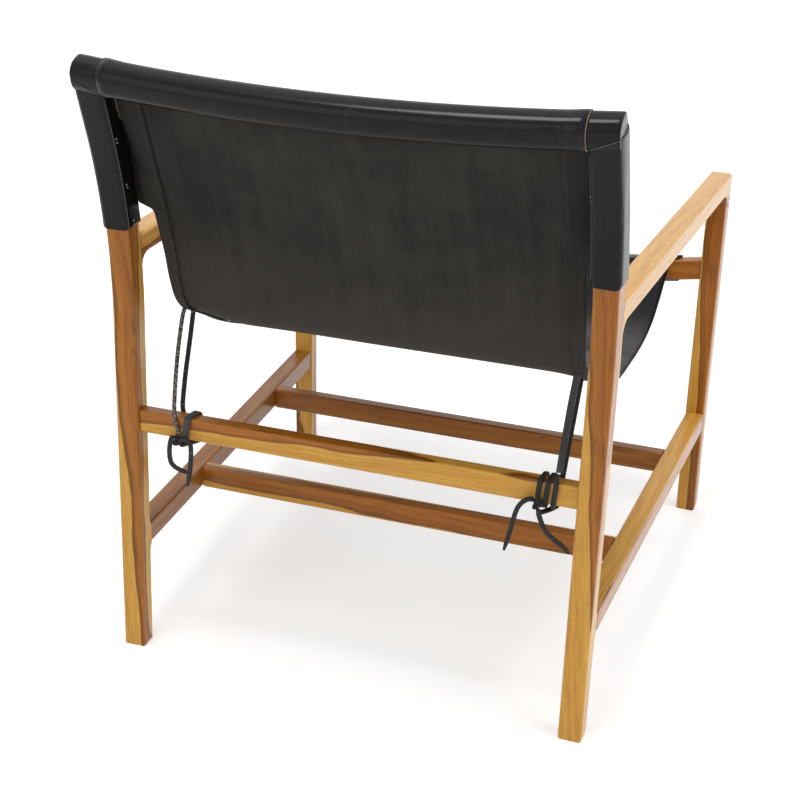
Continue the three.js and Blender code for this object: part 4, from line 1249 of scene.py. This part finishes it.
def flesh_material():
    """The suede-like back of the hide: dull, clouded, with faint streaks down the back, and painted light
    that makes it lighter towards the bottom.
    """
    made, tree, shader = new_material("hide_flesh_side", *FLESH_SHINE)
    place = object_place(tree)
    laid = stored(tree, "on_hide")
    grain = use_group(tree, hide_grain, {"Vector": place, "Cells": FLESH_CELLS})
    nap = noise_value(tree, place, NAP_NOISE)
    clouds = noise_value(tree, laid, CLOUD_NOISE)
    streaks = stretched_noise(tree, laid, DOWN_STRETCH, DOWN_NOISE)
    streaks = math_node(tree, "MULTIPLY", streaks, DOWN_SHARE)
    blend = math_node(tree, "MULTIPLY_ADD", clouds, CLOUD_SHARE, streaks)
    # Painted light: the lower part of the back is made lighter, for the light that it catches where it
    # curves
    painted_light_low = mask(tree, split_vector(tree, place)["Z"], *LOW_PAINTED_LIGHT)
    tone = math_node(tree, "ADD", mask(tree, blend, *FLESH_BAND), painted_light_low, clamp=True)
    body = mix_colour(tree, tone, FLESH_DARK, FLESH_LIGHT)
    tree.links.new(uneven(tree, body, mask(tree, nap, *NAP_SHADE)), shader.inputs["Base Color"])
    height = math_node(tree, "MULTIPLY_ADD", grain["Height"], FLESH_GRAIN, nap)
    bump(tree, shader, height, *FLESH_RELIEF)
    return made


def grain_material(name, roughness, scuffed):
    """The smooth outer side of the hide, waxed: a soft shine over fine pores, and scuffs."""
    made, tree, shader = new_material(name, roughness, WAX_SPECULAR)
    grain = use_group(tree, hide_grain, {"Vector": object_place(tree), "Cells": WAX_CELLS})
    share = math_node(tree, "MULTIPLY", grain["Scuffs"], scuffed)
    tree.links.new(mix_colour(tree, share, GRAIN_DARK, GRAIN_SCUFF), shader.inputs["Base Color"])
    rough = math_node(tree, "MULTIPLY_ADD", grain["Mottle"], WAX_MOTTLE, roughness - WAX_MOTTLE / 2)
    tree.links.new(rough, shader.inputs["Roughness"])
    bump(tree, shader, grain["Height"], *WAX_RELIEF)
    coat(shader, *WAX_COAT)
    return made


def edge_material(name, colour):
    """The cut edge of a hide, whose fibres stand a little open."""
    made, tree, shader = new_material(name, *CUT_SHINE)
    fibres = mask(tree, noise_value(tree, object_place(tree), CUT_NOISE), *CUT_SHADE)
    tree.links.new(uneven(tree, colour, fibres), shader.inputs["Base Color"])
    bump(tree, shader, fibres, *CUT_RELIEF)
    return made


hide_grain_side = grain_material("hide_grain_side", SLING_ROUGHNESS, SLING_SCUFFS)
hide_flesh_side = flesh_material()
dyed_edge = edge_material("dyed_edge", EDGE_DYE)
raw_edge = edge_material("raw_edge", RAW_EDGE)


def full_width(row):
    half = sling_half_width(row)
    return -half, half


all_rows = list(range(len(hide_line)))
sling = hide_strip("sling_hide", all_rows, full_width, HIDE / 2, -HIDE / 2, SLING_COLUMNS, SLING_BULGE)
hide_finishes = [hide_grain_side, hide_flesh_side, dyed_edge, raw_edge]
finish_piece(sling, hide_finishes, "sling_leather", "sling")

# Edge bands
# A strip of thinner leather is stitched behind each side of the sling, from the wing at the top
# down to the seat's front, and doubles the leather where the lace passes.
BAND = 2.0
BAND_GAP = 0.4
BAND_TOP = 762
BAND_FRONT = -588
BAND_TOP_INSET = 34
BAND_SEAT_INSET = 12
BAND_COLUMNS = 6
BAND_EDGE_GAP = 0.8
BAND_BULGE = 0.4
SIDES = {"left": 1, "right": -1}


def band_inner(row):
    """How far from the sling's middle a band's inner edge lies at a row."""
    y, z = hide_line[row]
    share = share_between(z, HEEL[1], BAND_TOP) if y > HEEL[0] else 0.0
    low = SEAT_HALF_WIDTH - BAND_SEAT_INSET
    return low + (WING_HALF_WIDTH - BAND_TOP_INSET - low) * share


def band_outer(row):
    """How far from the middle the edge of the sling lies that a band follows."""
    return min(WING_HALF_WIDTH, sling_half_width(row))


def band_limits(sign):
    """The two edges of a side's band, as a function of the row."""

    def limits(row):
        outer = band_outer(row) - BAND_EDGE_GAP
        ends = (sign * band_inner(row), sign * outer)
        return min(ends), max(ends)

    return limits


band_rows = [
    row
    for row in all_rows
    if row >= roll_rows and hide_line[row][1] < BAND_TOP and hide_line[row][0] > BAND_FRONT
]
band_face = -HIDE / 2 - BAND_GAP
for side, sign in SIDES.items():
    band = hide_strip(
        f"{side}_edge_band_leather",
        band_rows,
        band_limits(sign),
        band_face,
        band_face - BAND,
        BAND_COLUMNS,
        BAND_BULGE,
    )
    finish_piece(band, hide_finishes[:RAW_CUT], "sling_leather", f"{side}_edge_band")

# Corner leather
# A cap of leather covers each end of the top rail and a sleeve the upper part of each rear leg.
# They meet in a mitre seam below the roll and are glued and tacked to the wood.
MITRE_START = 765
MITRE_INNER = 281.1
MITRE_OUTER = 318
MITRE_RISE = 15
MITRE_RUN = 34.9
MITRE_SLOPE = MITRE_RISE / MITRE_RUN
SEAM_DROP = 0.9
SEAM_POINTS = 24
SEAM_LIP = 0.7
# Painted highlight: the seams' lips are pale grey, for the light caught along the turned edges
SEAM_HIGHLIGHT_GREY = paint(86, 85, 84)
LIP_ROUNDNESS = 2
FORWARD = (0, -1, 0)
# Where the straight lines start that find a seam's or a tack's place on a sleeve
BACK_LOOK = 160
INNER_LOOK = 240
FLAP_TOP = 757
FLAP_LOW = 588
FLAP_INSET = 3.6
FLAP_BACK_SIDE = 296
CAP_CELL = 0.8
CAP_ROUNDS = 60
CAP_SMOOTHING = 0.5
CAP_END_WORN = (298, 313)
CAP_TOP_WORN = (784, 796)
CAP_LIGHT_WORN = 0.06
CORNER_ROUGHNESS = 0.3
CORNER_SCUFFS = 0.5
CORNER_SHEEN = 0.05
CORNER_SHEEN_ROUGHNESS = 0.25

corner_leather = grain_material("corner_leather", CORNER_ROUGHNESS, CORNER_SCUFFS)
corner_shader = corner_leather.node_tree.nodes["Principled BSDF"]
corner_shader.inputs["Sheen Weight"].default_value = CORNER_SHEEN
corner_shader.inputs["Sheen Roughness"].default_value = CORNER_SHEEN_ROUGHNESS
# Painted highlight: the lips take the cut edge's fibres in a pale grey that stands for light along the
# seams
seam_highlight_leather = edge_material("seam_highlight_leather", SEAM_HIGHLIGHT_GREY)


def round_over(cap):
    """Rounds a cap's closed end, as wet-formed leather is where it turns a corner."""
    cells = cap.modifiers.new("even_cells", "REMESH")
    cells.mode = "VOXEL"
    cells.voxel_size = CAP_CELL * MM
    cells.use_smooth_shade = True
    apply_modifiers(cap)
    worn = cap.vertex_groups.new(name="worn")
    for vertex in cap.data.vertices:
        end_share = smooth_share(abs(vertex.co.x) / MM, *CAP_END_WORN)
        share = end_share * smooth_share(vertex.co.z / MM, *CAP_TOP_WORN)
        worn.add([vertex.index], CAP_LIGHT_WORN + (1 - CAP_LIGHT_WORN) * share, "REPLACE")
    smooth = cap.modifiers.new("worn_round", "SMOOTH")
    smooth.factor = CAP_SMOOTHING
    smooth.iterations = CAP_ROUNDS
    smooth.vertex_group = "worn"
    apply_modifiers(cap)
    cap.vertex_groups.clear()


sleeves = {}
for side in SIDES:
    cap = clean_copy(f"{side}_corner_cap", f"{side}_corner_cap_leather")
    round_over(cap)
    finish_piece(cap, [corner_leather], "corner_leather", f"{side}_corner_cap")
    sleeve = clean_copy(f"{side}_post_sleeve", f"{side}_post_sleeve_leather")
    even_shading(sleeve)
    finish_piece(sleeve, [corner_leather], "corner_leather", f"{side}_post_sleeve")
    sleeves[side] = sleeve


def land(piece, start, direction):
    """Where a straight line from a point first meets a piece's surface."""
    piece.data.calc_loop_triangles()
    faces = [list(face.vertices) for face in piece.data.loop_triangles]
    surface = BVHTree.FromPolygons([vertex.co for vertex in piece.data.vertices], faces)
    return surface.ray_cast(start, Vector(direction))[0]


def seam_route(side):
    """The upper edge of a sleeve across the post's back face, just below the mitre."""
    route = []
    for x in np.linspace(MITRE_INNER, MITRE_OUTER, SEAM_POINTS):
        z = MITRE_START + (x - MITRE_INNER) * MITRE_SLOPE - SEAM_DROP
        hit = land(sleeves[side], chair_point(SIDES[side] * x, BACK_LOOK, z), FORWARD)
        if hit:
            route.append(hit)
    return route


def flap_route(side):
    """The glued edge of a sleeve's leather, down the inner face of its post just in front of the back
    corner, where its pale lip is a painted highlight along that corner.
    """
    sign = SIDES[side]
    route = []
    for z in np.linspace(FLAP_TOP, FLAP_LOW, SEAM_POINTS):
        back = land(sleeves[side], chair_point(sign * FLAP_BACK_SIDE, BACK_LOOK, z), FORWARD)
        if not back:
            break
        start = Vector((sign * INNER_LOOK * MM, back.y - FLAP_INSET * MM, back.z))
        hit = land(sleeves[side], start, (sign, 0, 0))
        if hit:
            route.append(hit)
    return route


def lay_lip(name, route):
    """A turned leather edge, as a thin round strip along a seam, painted pale grey as a highlight."""
    curve = bpy.data.curves.new(name, "CURVE")
    curve.dimensions = "3D"
    curve.bevel_depth = SEAM_LIP * MM
    curve.bevel_resolution = LIP_ROUNDNESS
    curve.use_fill_caps = True
    spline = curve.splines.new("POLY")
    spline.points.add(len(route) - 1)
    for point, place in zip(spline.points, route):
        point.co = (*place, 1)
    holder = add_object(name, curve)
    scene_state = bpy.context.evaluated_depsgraph_get()
    mesh = bpy.data.meshes.new_from_object(holder.evaluated_get(scene_state))
    bpy.data.objects.remove(holder)
    finish_piece(add_object(name, mesh), [seam_highlight_leather], "corner_leather")


# Thin lips, painted pale as highlights, along the mitre and down the flap's edge
for side in SIDES:
    lay_lip(f"{side}_mitre_highlight_lip", seam_route(side))
    lay_lip(f"{side}_flap_highlight_lip", flap_route(side))

# Stitching and tacks
# Waxed thread, sewn by machine, holds the edge bands and closes the hems of the roll. Round
# headed tacks pin the sleeves' leather to the inner faces of the posts.
STITCH_PITCH = 4.4
STITCH_LENGTH = 3.2
STITCH_WIDTH = 0.75
STITCH_SIDES = 6
STITCH_RINGS = 4
STITCH_INSET = 4
TACK_RADIUS = 1.7
TACK_SIDES = 14
TACK_RINGS = 8
TACKS = [(25, 705.5), (23, 700.5), (4.5, 644.6), (2.5, 640.6), (-9, 596), (-11, 589.5)]
THREAD = paint(38, 37, 37)
TACK_STEEL = paint(120, 116, 108)
HEM_INSETS = (5, 19)
BEAD_RADIUS = 0.5
THREAD_ROUGHNESS = 0.45
STEEL_ROUGHNESS = 0.3
HANDLED_NOISE = (700.0, 3.0, 0.7)
HANDLED_SHADE = (0.3, 0.7, 0.7, 1.2)


def plain_material(name, colour, roughness, metallic):
    """Thread or steel, whose colour is uneven from handling."""
    made, tree, shader = new_material(name, roughness)
    worn = mask(tree, noise_value(tree, object_place(tree), HANDLED_NOISE), *HANDLED_SHADE)
    tree.links.new(uneven(tree, colour, worn), shader.inputs["Base Color"])
    shader.inputs["Metallic"].default_value = metallic
    return made


def point_tree(name, sizes, build):
    """A Geometry Nodes tree whose build function sets one small shape at each point."""
    tree = bpy.data.node_groups.new(name, "GeometryNodeTree")
    tree.interface.new_socket("Geometry", in_out="INPUT", socket_type="NodeSocketGeometry")
    for size, value in sizes.items():
        socket = tree.interface.new_socket(size, in_out="INPUT", socket_type="NodeSocketFloat")
        socket.default_value = value
    tree.interface.new_socket("Finish", in_out="INPUT", socket_type="NodeSocketMaterial")
    tree.interface.new_socket("Geometry", in_out="OUTPUT", socket_type="NodeSocketGeometry")
    given = tree.nodes.new("NodeGroupInput").outputs
    placed = build(tree, given)
    real = add_node(tree, "GeometryNodeRealizeInstances", {"Geometry": placed})
    smooth = add_node(tree, "GeometryNodeSetShadeSmooth", {"Geometry": real.outputs["Geometry"]})
    inputs = {"Geometry": smooth.outputs["Geometry"], "Material": given["Finish"]}
    finished = add_node(tree, "GeometryNodeSetMaterial", inputs)
    tree.links.new(finished.outputs["Geometry"], tree.nodes.new("NodeGroupOutput").inputs["Geometry"])
    return tree


def build_stitches(tree, given):
    """Stitches laid end to end along each line, a pitch apart, each a bead pulled long."""
    line = add_node(tree, "GeometryNodeMeshToCurve", {"Mesh": given["Geometry"]})
    inputs = {"Curve": line.outputs["Curve"], "Length": given["Pitch"]}
    spaced = add_node(tree, "GeometryNodeResampleCurve", inputs, mode="LENGTH")
    inputs = {"Segments": STITCH_SIDES, "Rings": STITCH_RINGS, "Radius": BEAD_RADIUS}
    bead = add_node(tree, "GeometryNodeMeshUVSphere", inputs)
    inputs = {"X": given["Length"], "Y": given["Width"], "Z": given["Width"]}
    size = add_node(tree, "ShaderNodeCombineXYZ", inputs)
    inputs = {"Geometry": bead.outputs["Mesh"], "Scale": size.outputs["Vector"]}
    stitch = add_node(tree, "GeometryNodeTransform", inputs)
    inputs = {"Vector": add_node(tree, "GeometryNodeInputTangent").outputs["Tangent"]}
    turned = add_node(tree, "FunctionNodeAlignRotationToVector", inputs, axis="X")
    inputs = {
        "Points": spaced.outputs["Curve"],
        "Instance": stitch.outputs["Geometry"],
        "Rotation": turned.outputs["Rotation"],
    }
    return add_node(tree, "GeometryNodeInstanceOnPoints", inputs).outputs["Instances"]


def build_tacks(tree, given):
    """A round head at each point."""
    inputs = {"Segments": TACK_SIDES, "Rings": TACK_RINGS, "Radius": given["Radius"]}
    head = add_node(tree, "GeometryNodeMeshUVSphere", inputs)
    inputs = {"Points": given["Geometry"], "Instance": head.outputs["Mesh"]}
    return add_node(tree, "GeometryNodeInstanceOnPoints", inputs).outputs["Instances"]


def run_tree(name, tree, lines, values, slot):
    """Runs a tree on lines of points, and keeps what it makes as one plain piece."""
    mesh = bpy.data.meshes.new(name)
    places = [tuple(place) for line in lines for place in line]
    edges = []
    start = 0
    for line in lines:
        edges += [(start + i, start + i + 1) for i in range(len(line) - 1)]
        start += len(line)
    mesh.from_pydata(places, edges, [])
    piece = add_object(name, mesh)
    maker = piece.modifiers.new("maker", "NODES")
    maker.node_group = tree
    for socket in tree.interface.items_tree:
        if socket.in_out == "INPUT" and socket.name in values:
            maker[socket.identifier] = values[socket.name]
    apply_modifiers(piece)
    finish_piece(piece, [], slot)


stitch_sizes = {"Pitch": STITCH_PITCH * MM, "Length": STITCH_LENGTH * MM, "Width": STITCH_WIDTH * MM}
tack_sizes = {"Radius": TACK_RADIUS * MM}
stitch_tree = point_tree("stitch_rows", stitch_sizes, build_stitches)
tack_tree = point_tree("tack_heads", tack_sizes, build_tacks)
waxed_thread = plain_material("waxed_thread", THREAD, THREAD_ROUGHNESS, 0.0)
blackened_steel = plain_material("blackened_steel", TACK_STEEL, STEEL_ROUGHNESS, 1.0)

band_seams = []
for sign in SIDES.values():
    for off in (HIDE / 2, band_face - BAND):
        inner = [hide_point(row, sign * (band_inner(row) + STITCH_INSET), off) for row in band_rows]
        outer = [hide_point(row, sign * (band_outer(row) - STITCH_INSET), off) for row in band_rows]
        band_seams += [inner, outer]
roll_hems = []
for sign in SIDES.values():
    for inset in HEM_INSETS:
        x = sign * (WING_HALF_WIDTH - inset)
        roll_hems.append([hide_point(row, x, HIDE / 2) for row in range(roll_rows)])
stitch_values = {**stitch_sizes, "Finish": waxed_thread}
run_tree("band_stitching", stitch_tree, band_seams, stitch_values, "sling_leather")
run_tree("roll_stitching", stitch_tree, roll_hems, stitch_values, "sling_leather")

heads = []
for side, sign in SIDES.items():
    for y, z in TACKS:
        hit = land(sleeves[side], chair_point(sign * INNER_LOOK, y, z), (sign, 0, 0))
        if hit:
            heads.append([hit])
run_tree("tacks", tack_tree, heads, {**tack_sizes, "Finish": blackened_steel}, "corner_leather")

# Studio
# A white floor and a white room with four broad, soft lamps. The two at the chair's right and in
# front of it only fill the shade, so they aren't mirrored in the leather.
FLOOR_SIZE = 14
WHITE = (1.0, 1.0, 1.0, 1.0)
FLOOR_SHINE = (0.9, 0.1)
FLOOR_WHITE = paint(238, 238, 238)
FLOOR_GLOW = (0.42, 0.62)
GLOW_REACH = (0.7, 2.4)
ROOM_LIGHT = 0.5
MIRRORED_LAMPS = ("top_lamp", "back_lamp")
# Each lamp's place and breadth in metres, and its power
LAMPS = [
    ("right_lamp", (-3.0, 0.6, 1.9), 2.4, 46.0),
    ("top_lamp", (0.25, 0.55, 3.1), 1.0, 36.0),
    ("back_lamp", (1.2, 3.2, 1.8), 2.4, 18.0),
    ("front_lamp", (0.7, -3.2, 1.0), 2.4, 12.0),
]


def background_rays(tree):
    """1 for the rays that show the background: those seen directly, in a mirror or through glass."""
    light = add_node(tree, "ShaderNodeLightPath").outputs
    seen = math_node(tree, "MAXIMUM", light["Is Camera Ray"], light["Is Glossy Ray"])
    return math_node(tree, "MAXIMUM", seen, light["Is Transmission Ray"])


def make_floor():
    """A white floor that keeps the chair's shadow and brightens towards the room's white."""
    half = FLOOR_SIZE / 2
    corners = [(-half, -half, 0), (half, -half, 0), (half, half, 0), (-half, half, 0)]
    floor = new_object("floor", corners, [(0, 1, 2, 3)])
    made, tree, shader = new_material("white_floor", *FLOOR_SHINE)
    shader.inputs["Base Color"].default_value = FLOOR_WHITE
    shader.inputs["Emission Color"].default_value = WHITE
    inputs = {0: object_place(tree)}
    away = add_node(tree, "ShaderNodeVectorMath", inputs, operation="LENGTH").outputs["Value"]
    glow = math_node(tree, "MULTIPLY", background_rays(tree), mask(tree, away, *GLOW_REACH, *FLOOR_GLOW))
    tree.links.new(glow, shader.inputs["Emission Strength"])
    floor.data.materials.append(made)


def make_room():
    """A plain world that is seen as white and lights the chair more softly."""
    room = bpy.data.worlds.new("white_room")
    bpy.context.scene.world = room
    room.use_nodes = True
    tree = room.node_tree
    strength = mask(tree, background_rays(tree), 0.0, 1.0, ROOM_LIGHT, 1.0)
    tree.links.new(strength, tree.nodes["Background"].inputs["Strength"])
    tree.nodes["Background"].inputs["Color"].default_value = WHITE


def make_lamps():
    """Square lamps, turned towards the chair's middle."""
    low, high = cad_bounds
    middle = (low + high) / 2
    for name, place, size, power in LAMPS:
        lamp = bpy.data.lights.new(name, "AREA")
        lamp.energy = power
        lamp.size = size
        holder = add_object(name, lamp)
        holder.location = place
        holder.rotation_euler = (middle - Vector(place)).to_track_quat("-Z", "Y").to_euler()
        holder.visible_glossy = name in MIRRORED_LAMPS


make_floor()
make_room()
make_lamps()
bpy.context.scene.view_settings.view_transform = "Standard"
